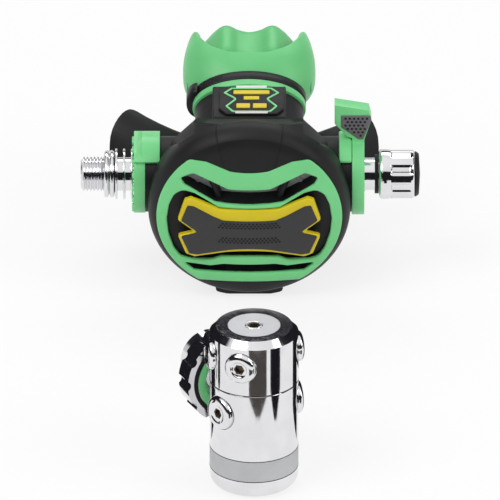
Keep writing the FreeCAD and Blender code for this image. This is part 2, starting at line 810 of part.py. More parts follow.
def mirrored_plate(name, corners, top, bottom, start, thickness, frame):
    """Plate on the face with a left-right even outline.

    corners run down the right side as (half width, height); top and bottom are the heights where the
    upper and lower edges cross the middle, as arcs. start is its y, thickness goes towards the front.
    """
    body = doc.addObject("PartDesign::Body", name)
    sketch = body.newObject("Sketcher::SketchObject", name + "_outline")
    sketch.AttachmentSupport = (plane(body, "XZ_Plane"), [""])
    sketch.MapMode = "FlatFace"
    left = [(f"-({x})", y) for x, y in reversed(corners)]
    ring = list(corners) + left
    points = [FreeCAD.Vector(number(x), number(y), 0) for x, y in ring]
    count = len(points)
    arcs = {len(corners) - 1: bottom, count - 1: top}
    first = [1] * count
    for i in range(count):
        ahead = points[(i + 1) % count]
        if i not in arcs:
            sketch.addGeometry(Part.LineSegment(points[i], ahead))
            continue
        middle = FreeCAD.Vector(0, number(arcs[i]), 0)
        if (middle - points[i]).cross(ahead - middle).z > 0:
            sketch.addGeometry(Part.Arc(points[i], middle, ahead))
        else:
            sketch.addGeometry(Part.Arc(ahead, middle, points[i]))
            first[i] = 2
    for i in range(count):
        ahead = (i + 1) % count
        sketch.addConstraint(Sketcher.Constraint("Coincident", i, 3 - first[i], ahead, first[ahead]))
    for i, corner in enumerate(ring):
        for kind, text in zip(("DistanceX", "DistanceY"), corner):
            held = sketch.addConstraint(Sketcher.Constraint(kind, -1, 1, i, first[i], number(text)))
            sketch.setExpression(f"Constraints[{held}]", bound(text))
    for i, middle in arcs.items():
        x, y = ring[i]
        rise = f"(({y}) - ({middle}))"
        size = f"(({x}) * ({x}) + {rise} * {rise}) / (2 * abs({rise}))"
        held = sketch.addConstraint(Sketcher.Constraint("Radius", i, number(size)))
        sketch.setExpression(f"Constraints[{held}]", bound(size))
    sketch.AttachmentOffset = FreeCAD.Placement(FreeCAD.Vector(0, 0, -number(start)), FreeCAD.Rotation())
    sketch.setExpression("AttachmentOffset.Base.z", bound(f"-({start})"))
    pad = body.newObject("PartDesign::Pad", name + "_pad")
    pad.Profile = sketch
    pad.setExpression("Length", bound(thickness))
    doc.recompute()
    return placed(body, frame)


def outline_plate(name, corners, start, thickness, frame):
    """Plate on the face through (x, height) corners, all straight."""
    body = doc.addObject("PartDesign::Body", name)
    sketch = body.newObject("Sketcher::SketchObject", name + "_outline")
    sketch.AttachmentSupport = (plane(body, "XZ_Plane"), [""])
    sketch.MapMode = "FlatFace"
    points = [FreeCAD.Vector(number(x), number(y), 0) for x, y in corners]
    count = len(points)
    for i in range(count):
        sketch.addGeometry(Part.LineSegment(points[i], points[(i + 1) % count]))
    for i in range(count):
        sketch.addConstraint(Sketcher.Constraint("Coincident", i, 2, (i + 1) % count, 1))
        pin_vertex(sketch, i, corners[i])
    sketch.AttachmentOffset = FreeCAD.Placement(FreeCAD.Vector(0, 0, -number(start)), FreeCAD.Rotation())
    sketch.setExpression("AttachmentOffset.Base.z", bound(f"-({start})"))
    pad = body.newObject("PartDesign::Pad", name + "_pad")
    pad.Profile = sketch
    pad.setExpression("Length", bound(thickness))
    doc.recompute()
    return placed(body, frame)


def rod(name, radius, start, end, frame):
    """Cylinder along the frame's z from start to end."""
    cylinder = doc.addObject("Part::Cylinder", name)
    cylinder.setExpression("Radius", bound(radius))
    cylinder.setExpression("Height", bound(f"({end}) - ({start})"))
    return placed(cylinder, shifted(frame, z=start))


def block(name, low, high, frame):
    """Box between two corners of the frame."""
    box = doc.addObject("Part::Box", name)
    for side, a, b in zip(("Length", "Width", "Height"), low, high):
        box.setExpression(side, bound(f"({b}) - ({a})"))
    return placed(box, shifted(frame, *low))


def ring(name, radius, wire, frame, height="0"):
    """Torus round the frame's z."""
    torus = doc.addObject("Part::Torus", name)
    torus.setExpression("Radius1", bound(radius))
    torus.setExpression("Radius2", bound(wire))
    return placed(torus, shifted(frame, z=height))


def oval(name, half_width, half_height, frame, height="0"):
    """Ellipse across the frame's z."""
    ellipse = doc.addObject("Part::Ellipse", name)
    ellipse.setExpression("MajorRadius", bound(half_width))
    ellipse.setExpression("MinorRadius", bound(half_height))
    return placed(ellipse, shifted(frame, z=height))


def oval_rod(name, half_width, half_height, start, end, frame):
    """Straight oval bar along the frame's z."""
    base = oval(name + "_oval", half_width, half_height, frame, start)
    bar = doc.addObject("Part::Extrusion", name)
    bar.Base = base
    bar.DirMode = "Normal"
    bar.setExpression("LengthFwd", bound(f"({end}) - ({start})"))
    bar.Solid = True
    return bar


def loft(name, sections):
    """Solid through closed sections, straight between them."""
    skin = doc.addObject("Part::Loft", name)
    skin.Sections = sections
    skin.Solid = True
    skin.Ruled = True
    return skin


def joined(name, pieces):
    fuse = doc.addObject("Part::MultiFuse", name)
    fuse.Shapes = pieces
    return fuse


def cut(name, base, tools):
    """Base less one or more tools."""
    result = doc.addObject("Part::Cut", name)
    result.Base = base
    result.Tool = tools[0] if len(tools) == 1 else joined(name + "_tools", tools)
    return result


def common(name, base, tool):
    result = doc.addObject("Part::Common", name)
    result.Base = base
    result.Tool = tool
    return result


def group(name, pieces):
    """Separate solids kept together."""
    compound = doc.addObject("Part::Compound", name)
    compound.Links = pieces
    return compound


def coil(name, radius, wire, turns, start, end, frame):
    """Spring of round wire between two heights of the frame."""
    rise = number(end) - number(start) - 2 * number(wire)
    pitch = rise / number(turns)
    slope = math.atan2(pitch, 2 * math.pi * number(radius))
    direction = FreeCAD.Vector(0, math.cos(slope), math.sin(slope))
    circle = Part.makeCircle(number(wire), FreeCAD.Vector(number(radius), 0, 0), direction)
    route = Part.Wire(Part.makeLongHelix(pitch, rise, number(radius)).Edges)
    spring = doc.addObject("Part::Feature", name)
    spring.Shape = route.makePipeShell([Part.Wire([circle])], True, True)
    return placed(spring, shifted(frame, z=f"({start}) + {wire}"))


FLOOR = block("floor", ("-floor_block", "0", "-floor_block"),
              ("floor_block", "4 * floor_block", "0"), UPRIGHT)


# Case of the second stage

def make_case():
    can = turned("can", [
        ("0", "can_rear"),
        ("rear_radius", "can_rear"),
        ("can_radius", "can_shoulder"),
        ("can_radius", "can_front"),
        ("0", "can_front"),
    ], DISC)
    cavity = turned("can_cavity", [
        ("0", "can_rear - rear_wall"),
        ("rear_radius - can_wall", "can_rear - rear_wall"),
        ("can_radius - can_wall", "can_shoulder"),
        ("can_radius - can_wall", "can_front + ledge_depth + ledge_thickness"),
        ("can_radius - ledge_width", "can_front + ledge_depth + ledge_thickness"),
        ("can_radius - ledge_width", "can_front + ledge_depth"),
        ("can_radius - can_wall", "can_front + ledge_depth"),
        ("can_radius - can_wall", "can_front"),
        ("0", "can_front"),
    ], DISC)
    bosses = rod("side_bosses", "boss_radius", "-left_boss_end", "right_boss_end", ALONG)
    neck = oval_rod("neck", "neck_half_width", "neck_half_height", "can_rear - rear_wall", "neck_end", NECK)
    spigot = oval_rod("spigot", "spigot_half_width", "spigot_half_height", "neck_end", "spigot_end", NECK)
    pad = block("badge_pad", ("-pad_half_width", "pad_start", "neck_rise"),
                ("pad_half_width", "neck_end", "pad_top"), STAGE)
    port = rod("exhaust_port", "port_radius", "can_rear - port_radius / 2", "port_rear", PORT)
    shell = joined("case_outside", [can, bosses, neck, spigot, pad, port])
    barrel_bore = rod("barrel_bore_hole", "barrel_radius + barrel_fit",
                      "-left_boss_end", "right_boss_end", ALONG)
    vane_bore = rod("vane_bore_hole", "vane_sleeve_radius + vane_fit", "0", "right_boss_end", ALONG)
    airway = oval_rod("airway", "airway_half_width", "airway_half_height",
                      "barrel_radius", "spigot_end", NECK)
    holes = [rod("flap_stem_hole", "valve_stem_radius + barrel_fit", "barrel_radius", "port_rear", PORT)]
    for index in range(6):
        frame = turned_frame(PORT, "z", str(60 * index + 30))
        frame = shifted(frame, x="port_hole_pitch")
        holes.append(rod(f"port_hole_{index + 1}", "port_hole_radius", "barrel_radius", "port_rear", frame))
    return part("second_stage_case", cut("case", shell, [cavity, barrel_bore, vane_bore, airway] + holes))


def make_badge():
    return part("badge_plate", block(
        "badge", ("-badge_half_width", "badge_start", "pad_top"),
        ("badge_half_width", "badge_end", "pad_top + badge_thickness"), STAGE))


def make_exhaust():
    flap = turned("flap", [
        ("0", "port_rear + valve_flap_thickness"),
        ("valve_flap_radius", "port_rear + valve_flap_thickness"),
        ("valve_flap_radius", "port_rear"),
        ("valve_stem_radius", "port_rear"),
        ("valve_stem_radius", "can_rear - rear_wall"),
        ("valve_barb_radius", "can_rear - rear_wall"),
        ("valve_stem_radius", "can_rear - rear_wall - valve_barb_radius"),
        ("0", "can_rear - rear_wall - valve_barb_radius"),
    ], PORT)
    part("exhaust_valve", flap)

    chamber = block("tee_chamber", ("-tee_half_width", "tee_front", "tee_bottom"),
                    ("tee_half_width", "tee_rear", "tee_top"), STAGE)
    hollow = block("tee_hollow", ("tee_wall - tee_half_width", "tee_front + tee_wall", "tee_floor"),
                   ("tee_half_width - tee_wall", "tee_rear - tee_wall", "tee_top - tee_wall"), STAGE)
    outside = [chamber]
    inside = [hollow]
    for side, sign in (("left", "-"), ("right", "")):
        for kind, shrink, bag in (("wing", "0", outside), ("outlet", "tee_wall", inside)):
            sections = []
            ends = (("wing_root_half_gap", "wing_root_back", "wing_root_drop", "wing_root"),
                    ("wing_reach", "wing_tip_back", "wing_tip_drop", "wing_tip"))
            for gap, back, drop, size in ends:
                centre = shifted(STAGE, f"{sign}({gap})", back, f"-{drop}")
                frame = turned_frame(turned_frame(centre, "x", "-wing_lean"), "y", "90")
                sections.append(oval(f"{side}_{kind}_{size}", f"{size}_major - {shrink}",
                                     f"{size}_minor - {shrink}", frame))
            bag.append(loft(f"{side}_{kind}", sections))
        middle = shifted(STAGE, f"{sign}(wing_reach - wing_end_trim - wing_end_radius)",
                         "wing_tip_back", "-wing_tip_drop")
        facing = turned_frame(middle, "x", "-wing_lean")
        near, far = sorted(("0", f"{sign}2 * wing_end_radius"), key=number)
        beyond = block(f"{side}_wing_beyond", (near, "-wing_end_radius", "-wing_end_radius"),
                       (far, "wing_end_radius", "wing_end_radius"), facing)
        kept = rod(f"{side}_wing_kept", "wing_end_radius", "-wing_end_radius", "wing_end_radius",
                   turned_frame(facing, "x", "90"))
        outside[-1] = cut(f"{side}_wing_round", outside[-1], [cut(f"{side}_wing_end", beyond, [kept])])
    mouth = rod("tee_mouth", "port_radius + barrel_fit", "tee_front", "tee_front + tee_wall", PORT)
    tee = cut("tee", joined("tee_outside", outside), inside + [mouth, FLOOR])
    return part("exhaust_tee", tee)


# Bezel, insert and purge button

def face_layer(name, front, rear):
    """Dome-shaped layer of the face between two offsets behind its surface."""
    return turned(name, [
        ("0", f"face_middle + {front}"),
        ("face_radius", f"face_edge + {front}"),
        ("face_radius", f"face_edge + {rear}"),
        ("0", f"face_middle + {rear}"),
    ], DISC)


def make_cover():
    valley = mirrored_plate("insert_valley", [
        ("valley_half_width", "insert_radius"),
        ("valley_half_width", "valley_height"),
        ("valley_foot_half_width", "valley_foot_height"),
    ], "face_radius", "insert_top_middle", "0", "-2 * face_middle", FACE)
    blank = common("insert_blank", cut("insert_outline", rod(
        "insert_disc", "insert_radius", "3 * face_middle", "0", DISC), [
            valley,
            block("insert_above", ("-insert_radius", "3 * face_middle", "insert_top_corner"),
                  ("insert_radius", "0", "insert_radius"), FACE),
            block("insert_below", ("-insert_radius", "3 * face_middle", "-insert_radius"),
                  ("insert_radius", "0", "insert_bottom"), FACE),
        ]), face_layer("insert_layer", "-insert_proud", "insert_depth"))
    recess = mirrored_plate("recess", [
        ("slot_bend_half_width - recess_flat_narrowing", "recess_top_middle + recess_flat_rise"),
        ("recess_half_width - recess_bend_narrowing", "recess_top_corner - recess_bend_drop"),
        ("recess_top_half_width", "recess_top_corner"),
        ("recess_half_width - recess_shoulder_narrowing", "recess_top_corner - recess_shoulder_drop"),
        ("recess_half_width", "recess_side_height"),
        ("recess_half_width - recess_foot_narrowing", "recess_bottom_corner + recess_foot_rise"),
        ("recess_half_width - recess_bottom_narrowing", "recess_bottom_corner"),
        ("recess_half_width - recess_heel_narrowing", "recess_bottom_corner + recess_heel_rise"),
    ], "recess_top_middle", "recess_bottom_middle", "recess_floor", "-face_middle", FACE)
    slot = mirrored_plate("upper_slot", [
        ("valley_foot_half_width + slot_flat_widening", "slot_top_middle + slot_flat_rise"),
        ("slot_half_width - slot_shoulder_narrowing", "slot_top_corner"),
        ("slot_half_width", "slot_tip_height"),
        ("slot_half_width - slot_heel_narrowing", "slot_heel_height"),
        ("slot_bend_half_width", "slot_bottom_middle + slot_bend_rise"),
    ], "slot_top_middle", "slot_bottom_middle", "0", "-2 * face_middle", FACE)
    vent = mirrored_plate("lower_vent", [
        ("vent_half_width - vent_flat_narrowing", "vent_top_middle + vent_flat_rise"),
        ("vent_half_width - vent_crest_narrowing", "vent_top_middle + vent_crest_rise"),
        ("vent_half_width", "vent_tip_height"),
        ("vent_half_width - vent_narrowing", "vent_tip_height - vent_corner_height"),
    ], "vent_top_middle", "vent_bottom_middle", "0", "-2 * face_middle", FACE)

    bezel = turned("bezel", [
        ("bezel_rear_radius", "bezel_rear"),
        ("bezel_radius", "bezel_wide_rear"),
        ("bezel_radius", "bezel_wide_front"),
        ("face_radius", "face_edge"),
        ("0", "face_middle"),
        ("0", "bezel_inner_face"),
        ("bezel_clear_radius", "bezel_inner_face"),
        ("bezel_clear_radius", "can_front - seat_gap"),
        ("can_radius + bezel_fit", "can_front - seat_gap"),
        ("can_radius + bezel_fit", "bezel_rear"),
    ], DISC)
    well = rod("spring_well", "well_radius", "bezel_inner_face", "well_rear", DISC)
    chin_disc = rod("chin_disc", "bezel_radius + chin_drop", "chin_front", "chin_rear", DISC)
    chin_block = block("chin_block", ("-chin_half_width", "chin_front", "chin_bottom"),
                       ("chin_half_width", "chin_rear", "-disc_drop"), STAGE)
    chin_trim = rod("chin_trim", "can_radius + bezel_fit", "2 * can_front", "0", DISC)
    chin = cut("chin", common("chin_arc", chin_disc, chin_block), [chin_trim])
    spring_room = turned("spring_room", [
        ("hub_radius + hub_fit + well_wall", "recess_floor"),
        ("well_radius - well_wall", "recess_floor"),
        ("well_radius - well_wall", "well_rear - well_wall"),
        ("hub_radius + hub_fit + well_wall", "well_rear - well_wall"),
    ], DISC)
    hub_hole = rod("hub_hole", "hub_radius + hub_fit", "face_middle", "well_rear", DISC)
    spring_front = rod("spring_front", "well_radius - well_wall", "2 * face_middle", "recess_floor", DISC)
    boss_room = rod("cover_boss_room", "saddle_radius + seat_gap",
                    "-2 * bezel_radius", "2 * bezel_radius", ALONG)
    ring_only = rod("cover_boss_keep", "can_radius", "2 * can_front", "0", DISC)
    sides = cut("cover_boss_sides", boss_room, [ring_only])
    body = joined("bezel_outside", [bezel, well, chin])
    part("front_bezel", cut("cover", body, [
        recess, slot, vent, blank, spring_room, spring_front, hub_hole, sides, FLOOR]))
    part("cover_insert", cut("insert", blank, [recess, slot, vent, spring_front]))


def make_purge():
    trim = mirrored_plate("trim_plate", [
        ("trim_side_half_width - trim_flat_narrowing", "trim_top_middle + trim_flat_rise"),
        ("trim_side_half_width - trim_bend_narrowing", "trim_top_corner - trim_bend_drop"),
        ("trim_top_half_width", "trim_top_corner"),
        ("trim_shoulder_half_width", "trim_top_corner - trim_shoulder_drop"),
        ("trim_side_half_width", "trim_upper_side"),
        ("trim_notch_half_width", "trim_notch_height"),
        ("trim_side_half_width", "trim_lower_side"),
        ("trim_foot_half_width", "trim_bottom_corner + trim_foot_rise"),
        ("trim_bottom_half_width", "trim_bottom_corner"),
        ("trim_heel_half_width", "trim_bottom_corner + trim_heel_rise"),
    ], "trim_top_middle", "trim_bottom_middle", "trim_front + trim_thickness", "trim_thickness", FACE)
    hole = rod("trim_hole", "hub_radius", "trim_front", "trim_front + trim_thickness", DISC)
    part("purge_trim", cut("trim", trim, [hole]))

    plate = mirrored_plate("button_plate", [
        ("trim_side_half_width - trim_flat_narrowing - plate_margin", "plate_top_middle + plate_flat_rise"),
        ("trim_side_half_width - plate_bend_narrowing", "plate_top_middle + plate_bend_rise"),
        ("trim_top_half_width - plate_margin", "trim_top_corner - plate_corner_margin"),
        ("trim_shoulder_half_width - plate_margin",
         "trim_top_corner - trim_shoulder_drop - plate_shoulder_margin"),
        ("trim_side_half_width - plate_margin", "trim_upper_side"),
        ("trim_notch_half_width - plate_margin", "trim_notch_height"),
        ("trim_side_half_width - plate_margin", "trim_lower_side"),
        ("trim_foot_half_width - plate_margin", "trim_bottom_corner + trim_foot_rise"),
        ("trim_bottom_half_width - plate_margin", "trim_bottom_corner + plate_margin"),
        ("trim_heel_half_width - plate_margin", "trim_bottom_corner + trim_heel_rise + plate_margin"),
    ], "plate_top_middle", "trim_bottom_middle + plate_margin", "trim_front", "plate_thickness", FACE)
    hub = turned("button_hub", [
        ("0", "trim_front"),
        ("hub_radius", "trim_front"),
        ("hub_radius", "hub_end - hub_lip"),
        ("hub_lip_radius", "hub_end - hub_lip"),
        ("hub_radius", "hub_end"),
        ("0", "hub_end"),
    ], DISC)
    part("purge_button", joined("button", [plate, hub]))
    part("purge_spring", coil(
        "purge_coil", "purge_coil_radius", "purge_wire", "purge_turns",
        "trim_front + trim_thickness + purge_spring_gap",
        "well_rear - well_wall - purge_spring_gap", DISC))


def make_diaphragm():
    front = "diaphragm_front"
    rear = "(diaphragm_front + membrane_thickness)"
    rim_front = "(can_front - seat_gap)"
    rim_rear = "(can_front + ledge_depth)"
    fold_top = f"({front} - fold_height)"
    part("diaphragm", turned("membrane", [
        ("0", front),
        ("fold_radius", front),
        ("fold_radius + fold_width / 2", fold_top),
        ("fold_radius + fold_width", front),
        ("bezel_clear_radius + seat_gap", front),
        ("bezel_clear_radius + seat_gap", rim_front),
        ("diaphragm_radius", rim_front),
        ("diaphragm_radius", rim_rear),
        ("diaphragm_radius - rim_width", rim_rear),
        ("diaphragm_radius - rim_width", rear),
        ("fold_radius + fold_width", rear),
        ("fold_radius + fold_width / 2", f"{rear} - fold_height"),
        ("fold_radius", rear),
        ("0", rear),
    ], DISC))
    part("diaphragm_plate", rod("plate_disc", "disc_plate_radius", rear,
                                f"{rear} + disc_plate_thickness", DISC))


# Valve barrel and its moving parts

def make_barrel():
    tube = rod("barrel_tube", "barrel_radius", "-barrel_half_length", "barrel_half_length", ALONG)
    bore = rod("barrel_hole", "barrel_bore", "-barrel_half_length", "barrel_half_length", ALONG)
    window = block("lever_window", ("window_start", "-2 * barrel_radius", "-window_half_height"),
                   ("window_end", "0", "window_half_height"), STAGE)
    outlet = block("air_outlet", ("-outlet_half_length", "0", "-outlet_half_height"),
                   ("outlet_half_length", "2 * barrel_radius", "outlet_half_height"), STAGE)
    part("valve_barrel", cut("barrel", tube, [bore, window, outlet]))
    part("inlet_orifice", turned("orifice", [
        ("orifice_bore", "stub_end"),
        ("barrel_bore - barrel_fit", "stub_end"),
        ("barrel_bore - barrel_fit", "orifice_end - orifice_crown_length"),
        ("orifice_crown", "orifice_end"),
        ("orifice_bore", "orifice_end"),
    ], ALONG))
    seat_start = "(orifice_end + seat_gap_length)"
    seat_end = f"({seat_start} + seat_thickness)"
    poppet_end = f"({seat_end} + poppet_length)"
    part("poppet_seat", rod("seat_disc", "seat_radius", seat_start, seat_end, ALONG))
    part("valve_spindle", turned("spindle", [
        ("0", seat_end),
        ("poppet_radius", seat_end),
        ("poppet_radius", poppet_end),
        ("spindle_radius", poppet_end),
        ("spindle_radius", "spring_collar_start"),
        ("spring_collar_radius", "spring_collar_start"),
        ("spring_collar_radius", "spring_collar_start + spring_collar_length"),
        ("spindle_radius", "spring_collar_start + spring_collar_length"),
        ("spindle_radius", "spindle_end"),
        ("0", "spindle_end"),
    ], ALONG))
    part("spindle_nut", turned("nut", [
        ("spindle_radius", "nut_start"),
        ("nut_radius", "nut_start"),
        ("nut_radius", "nut_start + nut_length"),
        ("spindle_radius", "nut_start + nut_length"),
    ], ALONG))
    part("valve_spring", coil(
        "valve_coil", "valve_coil_radius", "valve_wire", "valve_turns",
        "spring_collar_start + spring_collar_length", "screw_pad_start", ALONG))
    part("adjust_screw", turned("screw", [
        ("0", "screw_pad_start"),
        ("screw_pad_radius", "screw_pad_start"),
        ("screw_pad_radius", "screw_pad_start + screw_pad_length"),
        ("screw_radius", "screw_pad_start + screw_pad_length"),
        ("screw_radius", "screw_end"),
        ("0", "screw_end"),
    ], ALONG))


def make_demand_lever():
    plate_rear = "(diaphragm_front + membrane_thickness + disc_plate_thickness)"
    tip = f"({plate_rear} + lever_tip_gap)"
    heel = "-(barrel_radius + lever_thickness)"
    arm = doc.addObject("PartDesign::Body", "lever_arm")
    sketch = arm.newObject("Sketcher::SketchObject", "lever_side")
    sketch.AttachmentSupport = (plane(arm, "XY_Plane"), [""])
    sketch.MapMode = "FlatFace"
    corners = [
        ("lever_tip_along - lever_tip_half_length", tip),
        ("lever_tip_along + lever_tip_half_length", tip),
        ("lever_pivot_along", f"{heel} - lever_thickness / 4"),
        ("lever_pivot_along", "-barrel_radius + lever_thickness / 2"),
        ("lever_tip_along + lever_tip_half_length", f"{tip} + lever_thickness"),
        ("lever_tip_along - lever_tip_half_length", f"{tip} + lever_thickness"),
    ]
    points = [FreeCAD.Vector(number(x), number(y), 0) for x, y in corners]
    count = len(points)
    for i in range(count):
        sketch.addGeometry(Part.LineSegment(points[i], points[(i + 1) % count]))
    for i in range(count):
        sketch.addConstraint(Sketcher.Constraint("Coincident", i, 2, (i + 1) % count, 1))
        pin_vertex(sketch, i, corners[i])
    pad = arm.newObject("PartDesign::Pad", "lever_width")
    pad.Profile = sketch
    pad.setExpression("Length", bound("2 * lever_half_width"))
    pad.Midplane = True
    doc.recompute()
    placed(arm, STAGE)
    feet = []
    for side, low, high in (("lower", "-lever_half_width", "-lever_foot_inner"),
                            ("upper", "lever_foot_inner", "lever_half_width")):
        feet.append(block(f"{side}_foot",
                          ("nut_start - lever_thickness - seat_gap", f"{heel}", low),
                          ("nut_start - seat_gap", "lever_foot_end", high), STAGE))
    part("demand_lever", joined("lever_with_feet", [arm] + feet))


def make_inlet():
    profile = [
        ("inlet_bore", "hose_thread_start"),
        ("thread_core_radius", "hose_thread_start"),
        ("hose_thread_radius", "hose_thread_start + hose_thread_radius - thread_core_radius"),
        ("hose_thread_radius", "flange_start"),
    ]
    edge = "flange_length / 4"
    for index in range(2):
        low = f"(flange_start + {index} * flange_length)"
        profile += [
            ("flange_radius - flange_length / 2", low),
            ("flange_radius", f"{low} + {edge}"),
            ("flange_radius", f"{low} + 3 * {edge}"),
        ]
    profile += [
        ("flange_radius - flange_length / 2", "flange_start + 2 * flange_length"),
        ("spool_radius", "flange_start + 2 * flange_length"),
    ]
    for index in range(3):
        low = f"(fin_first + {index} * fin_pitch)"
        profile += [
            ("spool_radius", low),
            ("fin_radius", low),
            ("fin_radius", f"{low} + fin_thickness"),
            ("spool_radius", f"{low} + fin_thickness"),
        ]
    groove_end = "(oring_groove_start + oring_groove_length)"
    groove = "(barrel_bore - 2 * oring_wire)"
    profile += [
        ("spool_radius", "-barrel_half_length"),
        ("stub_radius", "-barrel_half_length"),
        ("stub_radius", "oring_groove_start"),
        (groove, "oring_groove_start"),
        (groove, groove_end),
        ("stub_radius", groove_end),
        ("stub_radius", "stub_end"),
        ("inlet_bore", "stub_end"),
    ]
    part("inlet_connector", turned("connector", profile, ALONG))
    part("inlet_oring", ring(
        "connector_oring", "barrel_bore - oring_wire - barrel_fit / 2", "oring_wire - barrel_fit / 2",
        ALONG, "oring_groove_start + oring_groove_length / 2"))


def saddle(name, start, end):
    """Part ring over the top of a side boss."""
    sweep = doc.addObject("Part::Cylinder", name + "_sector")
    sweep.setExpression("Radius", bound("saddle_radius"))
    sweep.setExpression("Height", bound(f"({end}) - ({start})"))
    sweep.setExpression("Angle", bound("2 * saddle_half_angle"))
    placed(sweep, shifted(turned_frame(ALONG, "z", "180 - saddle_half_angle"), z=start))
    return sweep


def make_collars():
    sleeve = rod("collar_disc", "collar_radius", "-barrel_half_length", "-left_boss_end", ALONG)
    tab = saddle("left_saddle", "-barrel_half_length", "saddle_length - left_boss_end")
    hole = rod("collar_hole", "barrel_radius + barrel_fit", "-barrel_half_length", "-left_boss_end", ALONG)
    room = rod("left_boss_room", "boss_radius + seat_gap",
               "-left_boss_end", "saddle_length - left_boss_end", ALONG)
    part("inlet_collar", cut("collar", joined("collar_blank", [sleeve, tab]), [hole, room]))
    right_tab = saddle("right_saddle", "right_boss_end - right_saddle_length", "right_boss_end")
    right_room = rod("right_boss_room", "boss_radius + seat_gap / 2",
                     "right_boss_end - right_saddle_length", "right_boss_end", ALONG)
    part("lever_collar", cut("saddle", right_tab, [right_room]))


def make_venturi():
    paddle_frame = shifted(turned_frame(STAGE, "x", "-lever_lean"), x="lever_ring_start", z="paddle_foot")
    half = "(paddle_thickness / 2)"
    corners = [
        ("-paddle_inner", "paddle_top"),
        ("paddle_top_outer", "paddle_outer_top"),
        ("paddle_outer", "paddle_outer_height"),
        ("paddle_waist_outer", "-paddle_waist_drop"),
        ("lever_ring_end - lever_ring_start", "-paddle_foot"),
        ("0", "-paddle_foot"),
        ("0", "-paddle_step"),
        ("-paddle_bottom_inner", "0"),
        ("-paddle_inner", "paddle_inner_height"),
    ]
    paddle = outline_plate("paddle", corners, half, "paddle_thickness", paddle_frame)
    disc = rod("lever_ring", "lever_ring_radius", "lever_ring_start", "lever_ring_end", ALONG)
    hole = rod("lever_ring_hole", "barrel_radius + barrel_fit", "lever_ring_start", "lever_ring_end", ALONG)
    grip_corners = [
        ("-grip_inner", "grip_top"),
        ("paddle_outer", "grip_top"),
        ("paddle_outer", "paddle_outer_height"),
        ("paddle_waist_outer", "-grip_foot_drop"),
        ("grip_foot_inner", "-grip_foot_drop"),
        ("-grip_inner", "grip_side_height"),
    ]
    pocket = outline_plate("grip_pocket", grip_corners, f"grip_depth - {half}", "grip_depth", paddle_frame)
    pad = outline_plate("grip_pad", grip_corners, f"grip_depth - {half}",
                        "grip_depth + grip_proud", paddle_frame)
    part("venturi_lever", cut("lever", joined("lever_blank", [disc, paddle]), [hole, pocket]))
    part("venturi_grip", common("grip", pad, outline_plate(
        "grip_limit", corners, half, "paddle_thickness + grip_proud", paddle_frame)))

    sleeve = rod("vane_sleeve", "vane_sleeve_radius", "vane_sleeve_start", "lever_ring_start", ALONG)
    bore = rod("vane_sleeve_bore", "vane_bore_radius", "vane_sleeve_start", "lever_ring_start", ALONG)
    vane_frame = turned_frame(STAGE, "x", "-vane_angle")
    vane = block("vane",
                 ("vane_sleeve_start", "-vane_thickness / 2", "vane_bore_radius + vane_thickness / 2"),
                 ("vane_sleeve_start + vane_length", "vane_thickness / 2", "vane_reach"), vane_frame)
    part("venturi_vane", cut("vane_with_sleeve", joined("vane_blank", [sleeve, vane]), [bore]))


def make_knob():
    shoulder = "(sleeve_start + sleeve_length)"
    part("knob_sleeve", turned("sleeve", [
        ("sleeve_bore", "sleeve_stub_end"),
        ("stub_radius", "sleeve_stub_end"),
        ("stub_radius", "sleeve_start"),
        ("sleeve_radius", "sleeve_start"),
        ("sleeve_radius", shoulder),
        ("sleeve_hub_radius", shoulder),
        ("sleeve_hub_radius", "sleeve_hub_end"),
        ("sleeve_bore", "sleeve_hub_end"),
    ], ALONG))
    part("knob_oring", turned("dark_ring", [
        ("sleeve_hub_radius", shoulder),
        ("dark_ring_radius", shoulder),
        ("dark_ring_radius", f"{shoulder} + dark_ring_length"),
        ("sleeve_hub_radius", f"{shoulder} + dark_ring_length"),
    ], ALONG))
    blank = turned("knob_blank", [
        ("knob_bore", "knob_start"),
        ("knob_mouth_radius", "knob_start"),
        ("knob_radius", "knob_start + knob_radius - knob_mouth_radius"),
        ("knob_radius", "knob_end"),
        ("cap_stub_radius + cap_stub_fit", "knob_end"),
        ("cap_stub_radius + cap_stub_fit", "knob_drive_end"),
        ("knob_drive_bore", "knob_drive_end"),
        ("knob_drive_bore", "knob_bore_end"),
        ("knob_bore", "knob_bore_end"),
    ], ALONG)
    scoops = []
    for index in range(int(number("knob_flats"))):
        frame = turned_frame(ALONG, "z", f"{index} * 360 / knob_flats")
        frame = shifted(frame, x="knob_radius + knob_flat_radius - knob_flat_depth")
        scoops.append(rod(f"knob_scoop_{index + 1}", "knob_flat_radius",
                          "knob_start + 3 * (knob_radius - knob_mouth_radius)", "knob_end", frame))
    part("adjust_knob", cut("knob", blank, scoops))
    part("knob_cap", turned("cap", [
        ("0", "knob_drive_end"),
        ("cap_stub_radius", "knob_drive_end"),
        ("cap_stub_radius", "knob_end"),
        ("cap_radius", "knob_end"),
        ("cap_radius - cap_edge", "knob_end + cap_length - cap_edge / 2"),
        ("0", "knob_end + cap_length"),
    ], ALONG))


# Mouthpiece and its clip

